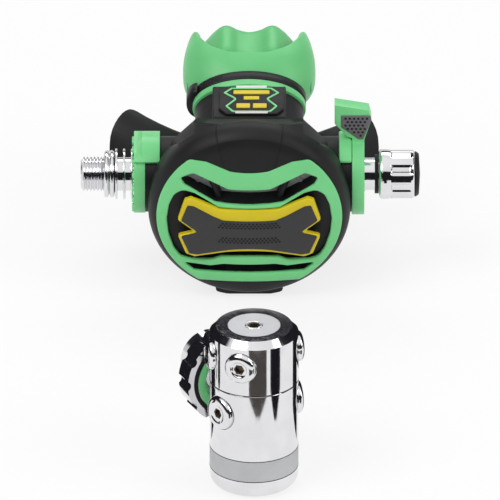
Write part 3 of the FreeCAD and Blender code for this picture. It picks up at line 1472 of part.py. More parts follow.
def make_mouthpiece():
    clip_end = "(clip_start + clip_length)"
    lip = oval_rod("mouth_lip", "mouth_collar_half_width", "mouth_collar_half_height",
                   "mouth_collar_start", "clip_start", NECK)
    tube = oval_rod("mouth_tube", "groove_half_width", "groove_half_height", "clip_start", clip_end, NECK)
    high = shifted(NECK, y="-rim_rise")

    def horn(name, shrink):
        return loft(name, [
            oval(name + "_foot", f"groove_half_width - {shrink}",
                 f"groove_half_height - {shrink}", NECK, clip_end),
            oval(name + "_root", f"mouth_collar_half_width - {shrink}",
                 f"mouth_collar_half_height - {shrink}",
                 NECK, "shield_start"),
            oval(name + "_swell", f"shield_half_width - {shrink}", f"shield_half_height - {shrink}",
                 high, "shield_swell"),
            oval(name + "_rim", f"rim_half_width - {shrink}",
                 f"rim_half_height - {shrink}", high, "shield_end"),
        ])

    bore = oval_rod("mouth_bore", "spigot_half_width", "spigot_half_height",
                    "mouth_collar_start", "spigot_end + seat_gap", NECK)
    hollow = horn("mouth_hollow", "mouth_wall")
    arch_frame = shifted(STAGE, y="arch_start + arch_radius", z="0")
    arch = rod("mouth_arch", "arch_radius", "-2 * shield_half_height", "3 * shield_half_height", arch_frame)
    shell = cut("mouth_shell", joined("mouth_outside", [lip, tube, horn("mouth_horn", "0")]),
                [bore, hollow, arch])
    tabs = []
    sides = (("left", "-bite_outer", "-bite_inner"), ("right", "bite_inner", "bite_outer"))
    for side, low, high_side in sides:
        tabs.append(block(f"{side}_bite", (low, "bite_start", "neck_rise - bite_thickness / 2"),
                          (high_side, "bite_end", "neck_rise + bite_thickness / 2"), STAGE))
        near = "bite_inner" if side == "right" else "-bite_inner - bridge_thickness"
        tabs.append(block(f"{side}_bridge_post", (near, "bite_end - bite_thickness", "neck_rise"),
                          (f"{near} + bridge_thickness", "bite_end", "bridge_top"), STAGE))
    tabs.append(block("bite_bridge", ("-bite_inner - bridge_thickness", "bite_end - bridge_thickness",
                                      "bridge_top - bite_thickness"),
                      ("bite_inner + bridge_thickness", "bite_end", "bridge_top"), STAGE))
    for side, low, high_side in (("left", "-shield_half_width + mouth_wall / 2", "-bite_inner"),
                                 ("right", "bite_inner", "shield_half_width - mouth_wall / 2")):
        tabs.append(block(f"{side}_stay",
                          (low, "bite_start - bite_thickness", "neck_rise - stay_thickness / 2"),
                          (high_side, "bite_start + bite_thickness", "neck_rise + stay_thickness / 2"),
                          STAGE))
    mouth = joined("mouth", [shell, joined("bite", tabs)])
    mouth.Refine = False
    part("mouthpiece", mouth)

    band = oval_rod("clip_band", "groove_half_width + clip_thickness", "groove_half_height + clip_thickness",
                    "clip_start", clip_end, NECK)
    buckle = block("clip_buckle",
                   ("-groove_half_width - buckle_width", "clip_start", "neck_rise - buckle_half_height"),
                   ("-groove_half_width / 2", clip_end, "neck_rise + buckle_half_height"), STAGE)
    throat = oval_rod("clip_throat", "groove_half_width", "groove_half_height", "clip_start", clip_end, NECK)
    part("mouthpiece_clip", cut("clip", joined("clip_blank", [band, buckle]), [throat]))


# First stage

BAND_TOP = "(cap_height + band_height)"
MEMBRANE_TOP = "(cap_floor + membrane_height)"
MAIN_MEMBRANE_TOP = "(spigot_top + membrane_height)"
VALVE_BOTTOM = "(high_seat_top + valve_open)"
VALVE_SHOULDER = f"({VALVE_BOTTOM} + high_valve_height)"


def make_base():
    cap = turned("end_cap_body", [
        ("cap_hole_radius", "0"),
        ("stage_radius", "0"),
        ("stage_radius", "cap_height"),
        ("lower_spigot_radius + thread_fit", "cap_height"),
        ("lower_spigot_radius + thread_fit", "cap_floor"),
        ("cap_hole_radius", "cap_floor"),
    ], UPRIGHT)
    part("end_cap", rounded(cap, "end_cap", "cap_rounding", [("stage_radius", "0")]))
    part("environment_diaphragm", rod("outer_membrane", "lower_spigot_radius - thread_fit",
                                      "cap_floor", MEMBRANE_TOP, UPRIGHT))
    part("clamp_ring", turned("band", [
        ("band_bore", MEMBRANE_TOP),
        ("lower_spigot_radius", MEMBRANE_TOP),
        ("lower_spigot_radius", "cap_height"),
        ("stage_radius", "cap_height"),
        ("stage_radius", BAND_TOP),
        ("upper_spigot_radius", BAND_TOP),
        ("upper_spigot_radius", "spigot_top"),
        ("band_bore", "spigot_top"),
    ], UPRIGHT))
    part("spring_adjuster", turned("adjuster", [
        ("adjuster_bore", "adjuster_bottom"),
        ("band_bore - thread_fit", "adjuster_bottom"),
        ("band_bore - thread_fit", "adjuster_top"),
        ("adjuster_bore", "adjuster_top"),
    ], UPRIGHT))
    carrier_bottom = "(spigot_top - carrier_gap - carrier_thickness)"
    part("spring_carrier", rod("carrier", "carrier_radius", carrier_bottom,
                               "spigot_top - carrier_gap", UPRIGHT))
    part("main_spring", coil("main_coil", "main_coil_radius", "main_wire", "main_turns",
                             "adjuster_top", carrier_bottom, UPRIGHT))
    plate_bottom = f"({MEMBRANE_TOP} + transmitter_lift)"
    plate_top = f"({plate_bottom} + transmitter_plate_height)"
    part("pressure_transmitter", turned("transmitter", [
        ("0", plate_bottom),
        ("transmitter_plate_radius", plate_bottom),
        ("transmitter_plate_radius", plate_top),
        ("transmitter_radius", plate_top),
        ("transmitter_radius", carrier_bottom),
        ("0", carrier_bottom),
    ], UPRIGHT))
    part("main_diaphragm", rod("main_membrane", "main_membrane_radius", "spigot_top",
                               MAIN_MEMBRANE_TOP, UPRIGHT))


def port_cuts(name, height, azimuth, bore, seat, head, depth, passage_start, passage):
    """Threaded hole, flat seat and inner passage of a port."""
    frame = radial(height, azimuth)
    return [
        rod(name + "_bore", bore, f"{seat} - {depth}", "stage_radius", frame),
        rod(name + "_seat", f"{head} + spotface_fit", seat, "2 * stage_radius", frame),
        rod(name + "_passage", passage, passage_start, seat, frame),
    ]


def make_body():
    blank = turned("body_blank", [
        ("upper_spigot_radius + thread_fit", BAND_TOP),
        ("stage_radius", BAND_TOP),
        ("stage_radius", "body_top"),
        ("turret_spigot_radius", "body_top"),
        ("turret_spigot_radius", "seal_height - seal_wire"),
        ("turret_bore - 2 * seal_wire", "seal_height - seal_wire"),
        ("turret_bore - 2 * seal_wire", "seal_height + seal_wire"),
        ("turret_spigot_radius", "seal_height + seal_wire"),
        ("turret_spigot_radius", "turret_spigot_top"),
        ("post_radius", "turret_spigot_top"),
        ("post_radius", "post_top"),
        ("high_bore", "post_top"),
        ("high_bore", "seat_shoulder"),
        ("seat_shoulder_bore", "seat_shoulder"),
        ("seat_shoulder_bore", "low_chamber_roof"),
        ("low_chamber_radius", "low_chamber_roof"),
        ("low_chamber_radius", MAIN_MEMBRANE_TOP),
        ("upper_spigot_radius + thread_fit", MAIN_MEMBRANE_TOP),
    ], UPRIGHT)
    rounded(blank, "body", "body_edge", [("stage_radius", "body_top")])
    cuts = []
    for side, azimuth in (("front", "high_port_azimuth"), ("right", "right_port_azimuth")):
        cuts += port_cuts(f"high_{side}", "high_port_height", azimuth, "high_port_radius + plug_fit",
                          "plug_seat_high", "high_head_radius", "high_port_depth",
                          "(high_bore - high_passage)", "high_passage")
    cuts += port_cuts("din", "din_height", "din_azimuth", "din_stem_thread + thread_fit",
                      "din_seat", "din_collar_radius", "(din_seat - din_inner_end + thread_fit)",
                      "(high_bore - high_passage)", "din_passage")
    cuts.append(rod("air_passage", "air_passage_radius", "low_chamber_roof - air_passage_radius",
                    "turret_spigot_top", shifted(turned_frame(
                        UPRIGHT, "z", "air_passage_azimuth - 90"), x="air_passage_offset")))
    part("main_body", cut("body", blank, cuts))


def make_balanced_valve():
    part("high_seat", turned("high_seat", [
        ("high_seat_bore", "seat_shoulder"),
        ("high_bore - thread_fit", "seat_shoulder"),
        ("high_bore - thread_fit", "high_seat_top - high_seat_bore / 2"),
        ("high_seat_crown", "high_seat_top"),
        ("high_seat_bore", "high_seat_top"),
    ], UPRIGHT))
    part("valve_lifter", turned("lifter", [
        ("0", MAIN_MEMBRANE_TOP),
        ("lifter_plate_radius", MAIN_MEMBRANE_TOP),
        ("lifter_plate_radius", f"{MAIN_MEMBRANE_TOP} + lifter_plate_height"),
        ("lifter_pin_radius", f"{MAIN_MEMBRANE_TOP} + lifter_plate_height"),
        ("lifter_pin_radius", VALVE_BOTTOM),
        ("0", VALVE_BOTTOM),
    ], UPRIGHT))
    part("high_valve", turned("high_valve", [
        ("0", VALVE_BOTTOM),
        ("high_valve_radius", VALVE_BOTTOM),
        ("high_valve_radius", VALVE_SHOULDER),
        ("high_stem_radius", VALVE_SHOULDER),
        ("high_stem_radius", "high_stem_top"),
        ("0", "high_stem_top"),
    ], UPRIGHT))
    part("high_valve_spring", coil("high_coil", "high_coil_radius", "high_wire", "high_turns",
                                   VALVE_SHOULDER, "plug_bottom", UPRIGHT))
    part("balance_plug", turned("plug", [
        ("plug_bore", "plug_bottom"),
        ("high_bore - thread_fit", "plug_bottom"),
        ("high_bore - thread_fit", "plug_top"),
        ("plug_bore", "plug_top"),
    ], UPRIGHT))


def hex_pocket(name, across, depth, face, frame):
    """Six-sided socket sunk into a head at the given height."""
    prism = doc.addObject("Part::Prism", name)
    prism.Polygon = 6
    prism.setExpression("Circumradius", bound(f"{across} / sqrt(3)"))
    prism.setExpression("Height", bound(depth))
    return placed(prism, shifted(frame, z=f"{face} - {depth}"))


def make_turret():
    bottom = "(body_top + turret_gap)"
    head_seat = "(turret_top - bolt_head_height)"
    blank = turned("turret_blank", [
        ("turret_bore", bottom),
        ("stage_radius", bottom),
        ("stage_radius", "turret_top"),
        ("bolt_head_radius + bolt_fit", "turret_top"),
        ("bolt_head_radius + bolt_fit", head_seat),
        ("bolt_shank_radius + bolt_fit", head_seat),
        ("bolt_shank_radius + bolt_fit", "turret_chamber_top"),
        ("turret_bore", "turret_chamber_top"),
    ], UPRIGHT)
    rounded(blank, "turret", "turret_rounding", [("stage_radius", "turret_top")])
    cuts = []
    for index, azimuth in enumerate(PORT_AZIMUTHS):
        cuts += port_cuts(f"low_{index + 1}", "low_port_height", azimuth, "low_port_radius",
                          "plug_seat_low", "low_head_radius", "(plug_seat_low - turret_bore)",
                          "(post_radius + port_post_clearance)", "low_port_radius")
    part("turret", cut("turret_ported", blank, cuts))

    bolt = turned("bolt", [
        ("0", "turret_top"),
        ("bolt_head_radius", "turret_top"),
        ("bolt_head_radius", head_seat),
        ("bolt_shank_radius", head_seat),
        ("bolt_shank_radius", "post_top"),
        ("bolt_thread_radius", "post_top"),
        ("bolt_thread_radius", "bolt_end"),
        ("0", "bolt_end"),
    ], UPRIGHT)
    part("turret_bolt", cut("bolt_with_socket", bolt, [
        hex_pocket("bolt_socket", "bolt_hex", "bolt_hex_depth", "turret_top", UPRIGHT)]))
    part("turret_seal", ring("turret_oring", "turret_bore - seal_wire - turret_gap / 3",
                             "seal_wire - turret_gap / 3", UPRIGHT, "seal_height"))


PORT_AZIMUTHS = [
    "low_port_first",
    "low_port_first - low_port_spacing",
    "low_port_first - 2 * low_port_spacing",
    "right_port_azimuth",
    "open_port_azimuth",
]


def make_plugs(kind, height, azimuths, seat, thread, length, head, face):
    """Screwed blanking plugs with hex sockets, and the O-ring under each head."""
    plugs = []
    orings = []
    groove = "(2 * plug_oring_wire)"
    for index, azimuth in enumerate(azimuths):
        frame = radial(height, azimuth)
        blank = turned(f"{kind}_plug_{index + 1}_blank", [
            ("0", f"{seat} - {length}"),
            (thread, f"{seat} - {length}"),
            (thread, f"{seat} + {groove}"),
            (f"{thread} + {groove}", f"{seat} + {groove}"),
            (f"{thread} + {groove}", seat),
            (head, seat),
            (head, f"{seat} + plug_head - plug_edge"),
            (face, f"{seat} + plug_head"),
            ("0", f"{seat} + plug_head"),
        ], frame)
        plugs.append(cut(f"{kind}_plug_{index + 1}", blank, [
            hex_pocket(f"{kind}_socket_{index + 1}", "plug_hex", "plug_hex_depth",
                       f"({seat} + plug_head)", frame)]))
        orings.append(ring(f"{kind}_oring_{index + 1}", f"{thread} + plug_oring_wire",
                           "plug_oring_wire - plug_fit / 2", frame, f"{seat} + plug_oring_wire"))
    part(f"{kind}_plugs", group(f"{kind}_plug_set", plugs))
    part(f"{kind}_plug_orings", group(f"{kind}_oring_set", orings))


def make_din():
    frame = radial("din_height", "din_azimuth")
    thread_start = "wheel_far"
    thread_end = "(wheel_far + din_thread_length)"
    flange_end = f"({thread_end} + din_flange_length)"
    groove_inner = "(din_oring_radius - din_oring_wire)"
    groove_outer = "(din_oring_radius + din_oring_wire)"
    groove_floor = f"({flange_end} - din_oring_groove)"
    part("din_stem", turned("stem", [
        ("din_bore", "din_inner_end"),
        ("din_stem_thread", "din_inner_end"),
        ("din_stem_thread", "din_seat"),
        ("din_collar_radius", "din_seat"),
        ("din_collar_radius", "din_collar_end"),
        ("din_shaft_radius", "din_collar_end"),
        ("din_shaft_radius", f"{thread_end} + din_running_fit"),
        ("din_flange_radius", f"{thread_end} + din_running_fit"),
        ("din_flange_radius", flange_end),
        (groove_outer, flange_end),
        (groove_outer, groove_floor),
        (groove_inner, groove_floor),
        (groove_inner, flange_end),
        ("filter_radius + thread_fit", flange_end),
        ("filter_radius + thread_fit", "filter_start"),
        ("din_bore", "filter_start"),
    ], frame))
    part("din_oring", ring("din_face_oring", "din_oring_radius", "din_oring_wire - din_running_fit", frame,
                           f"{groove_floor} + din_oring_wire"))
    part("inlet_filter", turned("filter", [
        ("0", "filter_start"),
        ("filter_radius", "filter_start"),
        ("filter_radius * 2 / 3", "filter_end"),
        ("0", "filter_end"),
    ], frame))
    part("din_bolt", turned("din_thread", [
        ("din_shaft_radius + din_running_fit", "wheel_near"),
        ("wheel_bore", "wheel_near"),
        ("wheel_bore", thread_start),
        ("din_thread_radius", thread_start),
        ("din_thread_radius", thread_end),
        ("din_shaft_radius + din_running_fit", thread_end),
    ], frame))
    blank = turned("wheel_blank", [
        ("wheel_bore", "wheel_near"),
        ("wheel_ring_inner", "wheel_near"),
        ("wheel_ring_inner", "wheel_near + wheel_ring_depth"),
        ("wheel_ring_radius", "wheel_near + wheel_ring_depth"),
        ("wheel_ring_radius", "wheel_near"),
        ("wheel_radius", "wheel_near"),
        ("wheel_radius", "wheel_far"),
        ("wheel_bore", "wheel_far"),
    ], frame)
    grooves = []
    for index in range(int(number("wheel_lugs"))):
        place = turned_frame(frame, "z", f"{index} * 360 / wheel_lugs")
        place = shifted(place, x="wheel_radius + wheel_groove_radius - wheel_groove_depth")
        grooves.append(rod(f"wheel_groove_{index + 1}", "wheel_groove_radius",
                           "wheel_near", "wheel_far", place))
    part("handwheel", cut("wheel", blank, grooves))
    part("handwheel_insert", turned("wheel_ring", [
        ("wheel_ring_inner", "wheel_near - wheel_ring_proud"),
        ("wheel_ring_radius", "wheel_near - wheel_ring_proud"),
        ("wheel_ring_radius", "wheel_near + wheel_ring_depth"),
        ("wheel_ring_inner", "wheel_near + wheel_ring_depth"),
    ], frame))


make_case()
make_badge()
make_exhaust()
make_cover()
make_purge()
make_diaphragm()
make_barrel()
make_demand_lever()
make_inlet()
make_collars()
make_venturi()
make_knob()
make_mouthpiece()
make_base()
make_body()
make_balanced_valve()
make_turret()
make_plugs("low", "low_port_height", PORT_AZIMUTHS[:-1], "plug_seat_low", "(low_port_radius - plug_fit)",
           "low_plug_length", "low_head_radius", "low_face_radius")
make_plugs("high", "high_port_height", ["high_port_azimuth", "right_port_azimuth"], "plug_seat_high",
           "high_port_radius", "high_plug_length", "high_head_radius", "high_face_radius")
make_din()

doc.recompute()
faults = []
for item in doc.Objects:
    if "Invalid" in item.State or "Error" in item.State:
        faults.append(f"{item.Name} state {item.State}")
for item in parts:
    if item.Shape.isNull() or not item.Shape.isValid() or not item.Shape.Solids:
        faults.append(f"{item.Label} has no valid solid")
if faults:
    raise SystemExit("not written: " + "; ".join(faults))

os.makedirs("parts", exist_ok=True)
for item in parts:
    item.Shape.exportStep(os.path.join("parts", item.Label + ".step"))
    print(f"{item.Label:24s} solids {len(item.Shape.Solids)} volume {item.Shape.Volume:10.1f}")
print(len(parts), "parts")
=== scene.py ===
"""Looks of a scuba regulator set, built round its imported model.

The second stage rests on its chin and exhaust tee, behind the first stage that stands on its end cap.
Sizes in the classes are millimetres in the frame of the stage that carries the piece: x to the right,
y away from the face of the cover, z up the face.
"""

from __future__ import annotations

import json
import logging
import math
from contextlib import contextmanager
from dataclasses import dataclass, field, replace
from enum import Enum
from functools import cached_property
from typing import Any, Callable, Iterable, Iterator, Sequence

import bmesh
import bpy
from mathutils import Matrix, Vector
from mathutils.geometry import delaunay_2d_cdt

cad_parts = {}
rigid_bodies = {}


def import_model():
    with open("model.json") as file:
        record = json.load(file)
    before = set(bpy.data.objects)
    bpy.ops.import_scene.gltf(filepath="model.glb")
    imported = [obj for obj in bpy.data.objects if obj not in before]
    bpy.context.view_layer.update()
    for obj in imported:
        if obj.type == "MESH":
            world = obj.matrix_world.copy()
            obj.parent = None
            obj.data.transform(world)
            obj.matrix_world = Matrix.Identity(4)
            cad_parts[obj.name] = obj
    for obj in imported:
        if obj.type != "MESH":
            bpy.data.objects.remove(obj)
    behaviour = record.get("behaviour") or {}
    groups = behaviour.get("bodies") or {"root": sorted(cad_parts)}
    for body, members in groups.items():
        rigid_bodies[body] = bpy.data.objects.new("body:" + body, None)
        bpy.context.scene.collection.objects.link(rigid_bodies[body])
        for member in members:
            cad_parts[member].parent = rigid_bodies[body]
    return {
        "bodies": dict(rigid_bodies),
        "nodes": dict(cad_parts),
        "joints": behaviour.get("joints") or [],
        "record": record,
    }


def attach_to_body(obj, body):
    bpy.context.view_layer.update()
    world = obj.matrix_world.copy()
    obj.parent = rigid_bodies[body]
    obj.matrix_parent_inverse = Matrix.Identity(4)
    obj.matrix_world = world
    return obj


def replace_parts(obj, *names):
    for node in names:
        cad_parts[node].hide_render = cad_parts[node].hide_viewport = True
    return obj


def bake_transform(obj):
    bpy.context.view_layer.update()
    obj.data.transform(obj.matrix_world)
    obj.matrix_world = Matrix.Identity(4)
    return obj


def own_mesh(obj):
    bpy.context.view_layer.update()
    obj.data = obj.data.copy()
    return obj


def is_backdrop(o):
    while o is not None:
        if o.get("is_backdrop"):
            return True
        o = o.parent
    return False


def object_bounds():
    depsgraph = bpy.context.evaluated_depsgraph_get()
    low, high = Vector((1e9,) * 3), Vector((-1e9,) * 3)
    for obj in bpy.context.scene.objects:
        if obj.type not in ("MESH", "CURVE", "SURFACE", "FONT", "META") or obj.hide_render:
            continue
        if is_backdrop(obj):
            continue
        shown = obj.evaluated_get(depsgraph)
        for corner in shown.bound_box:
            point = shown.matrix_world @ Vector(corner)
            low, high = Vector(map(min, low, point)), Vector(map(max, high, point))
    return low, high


Color = tuple[float, float, float]
Point = tuple[float, float, float]
Pair = tuple[float, float]
Curve = tuple[Pair, ...]
Spots = list[tuple[Vector, Vector]]

LOG = logging.getLogger("regulator_set")
MILLIMETRE = 0.001
SHAPE_WELD = 0.001
NODE_WELD = 0.002 * MILLIMETRE
NODE_SHARP = 34.0
DISC_DROP = 3.0
PANEL_LINE_FOOT: Pair = (10.0, 22.2)
PANEL_LINE_LEAN = 0.26
ALONG_Y = Matrix(((0, 1, 0, 0), (1, 0, 0, 0), (0, 0, 1, -DISC_DROP), (0, 0, 0, 1)))
UPRIGHT = Matrix(((0, 0, 1, 0), (0, 1, 0, 0), (1, 0, 0, 0), (0, 0, 0, 1)))


class Body(Enum):
    """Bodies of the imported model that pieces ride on."""

    ROOT = "root"
    PURGE = "purge"
    VENTURI = "venturi"
    KNOB = "knob"
    TURRET = "turret"
    HANDWHEEL = "handwheel"
    SCREW = "screw"
    SPINDLE = "spindle"
    VALVE_TRAIN = "valve_train"


class Slot(Enum):
    """Material slots of the record."""

    BLACK_SHELL = "black_shell"
    GREEN_TRIM = "green_trim"
    YELLOW_TRIM = "yellow_trim"
    BLACK_BUTTON = "black_button"
    DARK_RUBBER = "dark_rubber"
    GREEN_SILICONE = "green_silicone"
    CLEAR_SILICONE = "clear_silicone"
    CHROME = "chrome"
    SATIN_CHROME = "satin_chrome"
    SPRING_STEEL = "spring_steel"
    WHITE_PLASTIC = "white_plastic"
    BRONZE_FILTER = "bronze_filter"


@dataclass(frozen=True)
class Seat:
    """Where a stage stands: its origin in millimetres and its turn about X in degrees."""

    origin: Point
    tilt: float = 0.0

    def matrix(self) -> Matrix:
        """Frame of the stage in the frame of the model, with millimetres made metres."""
        move = Matrix.Translation(Vector(self.origin) * MILLIMETRE)
        return move @ Matrix.Rotation(math.radians(self.tilt), 4, "X") @ Matrix.Scale(MILLIMETRE, 4)


SECOND_STAGE = Seat((-1.9, 182.9, 48.2995), 10.5)
FIRST_STAGE = Seat((0.0, 0.0, 0.0))


@dataclass
class Value:
    """A number socket that can be used in sums, which add Math nodes."""

    tree: Tree
    socket: bpy.types.NodeSocket

    def _math(self, operation: str, *others: Any) -> Value:
        """Add a Math node of this value and the others."""
        return self.tree.value("ShaderNodeMath", {"operation": operation}, dict(enumerate((self, *others))))

    def __add__(self, other: Any) -> Value:
        """Sum of two values."""
        return self._math("ADD", other)

    def __mul__(self, other: Any) -> Value:
        """Product of two values."""
        return self._math("MULTIPLY", other)

    def __sub__(self, other: Any) -> Value:
        """Difference of two values."""
        return self._math("SUBTRACT", other)

    def __rsub__(self, other: float) -> Value:
        """Number less this value."""
        return self * -1.0 + other

    def __abs__(self) -> Value:
        """Size of the value."""
        return self._math("ABSOLUTE")

    __radd__, __rmul__ = __add__, __mul__

    def most(self, other: Any) -> Value:
        """Higher of two values."""
        return self._math("MAXIMUM", other)

    def spread(self, low: float, high: float, start: float = 0.0, end: float = 1.0) -> Value:
        """Map the value smoothly from low and high to start and end, and hold it between them."""
        settings = {"interpolation_type": "SMOOTHSTEP"}
        return self.tree.value("ShaderNodeMapRange", settings, {0: self, 1: low, 2: high, 3: start, 4: end})


@dataclass
class Tree:
    """Builder of a node tree."""

    tree: bpy.types.NodeTree

    def node(self, kind: str, settings: dict[str, Any] | None = None,
             sockets: dict[int | str, Any] | None = None) -> bpy.types.Node:
        """Add a node.

        Args:
            kind: Type of the node.
            settings: Attributes, and stops of a colour ramp, set before the sockets.
            sockets: Values or links by socket index or name.

        Returns:
            The node.
        """
        node = self.tree.nodes.new(kind)
        for key, setting in (settings or {}).items():
            if key == "stops":
                while len(node.color_ramp.elements) < len(setting):
                    node.color_ramp.elements.new(1.0)
                for element, (element.position, color) in zip(node.color_ramp.elements, setting):
                    element.color = (*color, 1.0)
            else:
                setattr(node, key, setting)
        for key, value in (sockets or {}).items():
            source = value.socket if isinstance(value, Value) else value
            if isinstance(source, bpy.types.NodeSocket):
                self.tree.links.new(source, node.inputs[key])
            else:
                node.inputs[key].default_value = source
        return node

    def value(self, kind: str, settings: dict[str, Any] | None = None,
              sockets: dict[int | str, Any] | None = None, output: int | str = 0) -> Value:
        """Add a node and take one of its outputs."""
        return Value(self, self.node(kind, settings, sockets).outputs[output])


class Surface(Tree):
    """Node tree of one material."""

    def __init__(self, name: str) -> None:
        """Start a material.

        Args:
            name: Name of the material.
        """
        self.material = bpy.data.materials.new(name)
        self.material.use_nodes = True
        self.material.node_tree.nodes.clear()
        super().__init__(self.material.node_tree)

    @cached_property
    def place(self) -> Value:
        """Place of a surface point on its object."""
        return self.value("ShaderNodeTexCoord", output="Object")

    def noise(self, size: float, detail: float = 2.0) -> Value:
        """Noise whose features have a size in millimetres."""
        sockets = {"Vector": self.place, "Scale": 1.0 / (size * MILLIMETRE), "Detail": detail}
        return self.value("ShaderNodeTexNoise", None, sockets)

    def blend(self, factor: Value, first: Color, second: Color) -> Value:
        """Mix two colours by the share of the second."""
        sockets = {0: factor, 6: (*first, 1.0), 7: (*second, 1.0)}
        return self.value("ShaderNodeMix", {"data_type": "RGBA"}, sockets, 2)

    def bump(self, height: Value, depth: float, under: Value | None = None) -> Value:
        """Turn a height, of a depth in millimetres, into a normal on top of the one under it."""
        sockets = {"Strength": 1.0, "Distance": depth * MILLIMETRE, "Height": height}
        return self.value("ShaderNodeBump", None, sockets | ({"Normal": under} if under else {}))

    def show(self, shader: bpy.types.Node) -> bpy.types.Material:
        """Lead a shader to the output."""
        self.node("ShaderNodeOutputMaterial", None, {"Surface": shader.outputs[0]})
        return self.material


@dataclass(frozen=True)
class Finish:
    """Finish with the names of its material and of the record's slot."""

    name: str
    slot: Slot

    def sockets(self, surface: Surface) -> dict[str, Any]:
        """Sockets of the shader."""
        raise NotImplementedError

    def material(self) -> bpy.types.Material:
        """Make the material."""
        surface = Surface(self.name)
        return surface.show(surface.node("ShaderNodeBsdfPrincipled", None, self.sockets(surface)))


@dataclass(frozen=True)
class Moulding(Finish):
    """Moulded plastic: fine grain, faint flow variation, slight gloss changes and sometimes a relief."""

    color: Color
    shade: Color
    roughness: float = 0.45
    grain_size: float = 0.45
    grain_depth: float = 0.03
    coat: float = 0.0
    ior: float = 1.40
    relief: Callable[[Surface], Value] | None = None

    def sockets(self, surface: Surface) -> dict[str, Any]:
        """Sockets of the shader."""
        flow = surface.noise(14.0, 3.0)
        fine = surface.noise(self.grain_size)
        cells = surface.value("ShaderNodeTexVoronoi", {"feature": "F1"}, {
            "Vector": surface.place, "Scale": 1.0 / (self.grain_size * 1.6 * MILLIMETRE)})
        normal = surface.bump(fine * 0.6 + cells * 0.4, self.grain_depth)
        if self.relief:
            normal = surface.bump(self.relief(surface), 0.5, normal)
        tone = flow.spread(0.3, 0.7) * 0.7 + fine * 0.3
        rough = flow.spread(0.25, 0.75, self.roughness - 0.05, self.roughness + 0.06) + (fine - 0.5) * 0.1
        return {"Base Color": surface.blend(tone, self.shade, self.color), "Roughness": rough,
                "Normal": normal, "Coat Weight": self.coat, "Coat Roughness": 0.25, "IOR": self.ior}


@dataclass(frozen=True)
class Silicone(Finish):
    """Soft silicone: satin skin with faint cloudiness and a little light through it."""

    color: Color
    shade: Color
    roughness: float = 0.38
    alpha: float = 1.0

    def sockets(self, surface: Surface) -> dict[str, Any]:
        """Sockets of the shader."""
        cloud, skin = surface.noise(9.0, 3.0), surface.noise(0.8, 3.0)
        return {"Base Color": surface.blend(cloud.spread(0.3, 0.7), self.shade, self.color),
                "Roughness": skin.spread(0.3, 0.7, self.roughness - 0.05, self.roughness + 0.08),
                "Normal": surface.bump(skin, 0.02), "Subsurface Weight": 0.12,
                "Subsurface Radius": (0.3, 1.0, 0.5), "Subsurface Scale": 0.002, "Alpha": self.alpha,
                "IOR": 1.43}


@dataclass(frozen=True)
class Plating(Finish):
    """Metal plating over a turned or cast part."""

    color: Color = (0.80, 0.80, 0.815)
    roughness: float = 0.07
    ripple_size: float = 6.0
    ripple_depth: float = 0.006

    def sockets(self, surface: Surface) -> dict[str, Any]:
        """Sockets of the shader."""
        haze, smudge = surface.noise(2.2, 4.0), surface.noise(11.0)
        rough = haze.spread(0.35, 0.75, self.roughness - 0.01, self.roughness + 0.03) + smudge * 0.03
        dim = tuple(0.93 * part for part in self.color)
        return {"Base Color": surface.blend(smudge.spread(0.3, 0.7), dim, self.color), "Metallic": 1.0,
                "Roughness": rough,
                "Normal": surface.bump(surface.noise(self.ripple_size), self.ripple_depth)}


def panel_lines(surface: Surface) -> Value:
    """Relief of the panel above the insert.

    Args:
        surface: Material being made.

    Returns:
        Height, low in the lines.
    """
    turned = SECOND_STAGE.matrix().inverted()
    mapped = surface.value("ShaderNodeMapping", {"vector_type": "POINT"}, {
        "Vector": surface.place, "Location": turned.translation, "Rotation": turned.to_euler(),
        "Scale": (1.0 / MILLIMETRE,) * 3})
    split = surface.node("ShaderNodeSeparateXYZ", None, {0: mapped}).outputs
    x, z = Value(surface, split[0]), Value(surface, split[2])
    foot_x, foot_z = PANEL_LINE_FOOT
    line = abs(abs(x) - (foot_x + (z - foot_z) * PANEL_LINE_LEAN)).spread(0.08, 0.35)
    above = (z - 19.0).spread(0.0, 2.0)
    return 1.0 - (1.0 - line) * above


BLACK = Moulding("shell_black", Slot.BLACK_SHELL, (0.0105, 0.0102, 0.0120), (0.0080, 0.0080, 0.0092), 0.5,
                 ior=1.35)
BEZEL_BLACK = replace(BLACK, name="bezel_black", relief=panel_lines)
BLACK_SMOOTH = Moulding("button_black", Slot.BLACK_SHELL, (0.012, 0.012, 0.0135), (0.009, 0.009, 0.010), 0.42,
                        grain_depth=0.015, ior=1.36)
GREEN = Moulding("green_plastic", Slot.GREEN_TRIM, (0.185, 0.660, 0.255), (0.166, 0.622, 0.236), 0.36, 0.3,
                 0.008, coat=0.15)
BUTTON = Moulding("button_grey", Slot.BLACK_BUTTON, (0.040, 0.039, 0.041), (0.032, 0.031, 0.033), 0.5,
                  grain_depth=0.02)
GRIP = Moulding("grip_grey", Slot.BLACK_BUTTON, (0.150, 0.140, 0.150), (0.128, 0.120, 0.128), 0.6,
                grain_depth=0.02)
YELLOW = Moulding("yellow_plastic", Slot.YELLOW_TRIM, (0.700, 0.555, 0.010), (0.640, 0.500, 0.008), 0.38,
                  0.3, 0.008)
WHITE = Moulding("white_plastic", Slot.WHITE_PLASTIC, (0.72, 0.72, 0.70), (0.66, 0.66, 0.64), 0.4,
                 grain_depth=0.01)
RUBBER = Moulding("dark_rubber", Slot.DARK_RUBBER, (0.0105, 0.0105, 0.0115), (0.008, 0.008, 0.009), 0.6,
                  grain_depth=0.02, ior=1.33)
DOT_BLACK = replace(RUBBER, name="dot_black", slot=Slot.BLACK_BUTTON)
GREEN_SILICONE = Silicone("green_silicone", Slot.GREEN_SILICONE, (0.150, 0.570, 0.215), (0.138, 0.540, 0.202))
CLEAR_SILICONE = Silicone("clear_silicone", Slot.CLEAR_SILICONE, (0.62, 0.64, 0.64), (0.55, 0.57, 0.57),
                          alpha=0.75)
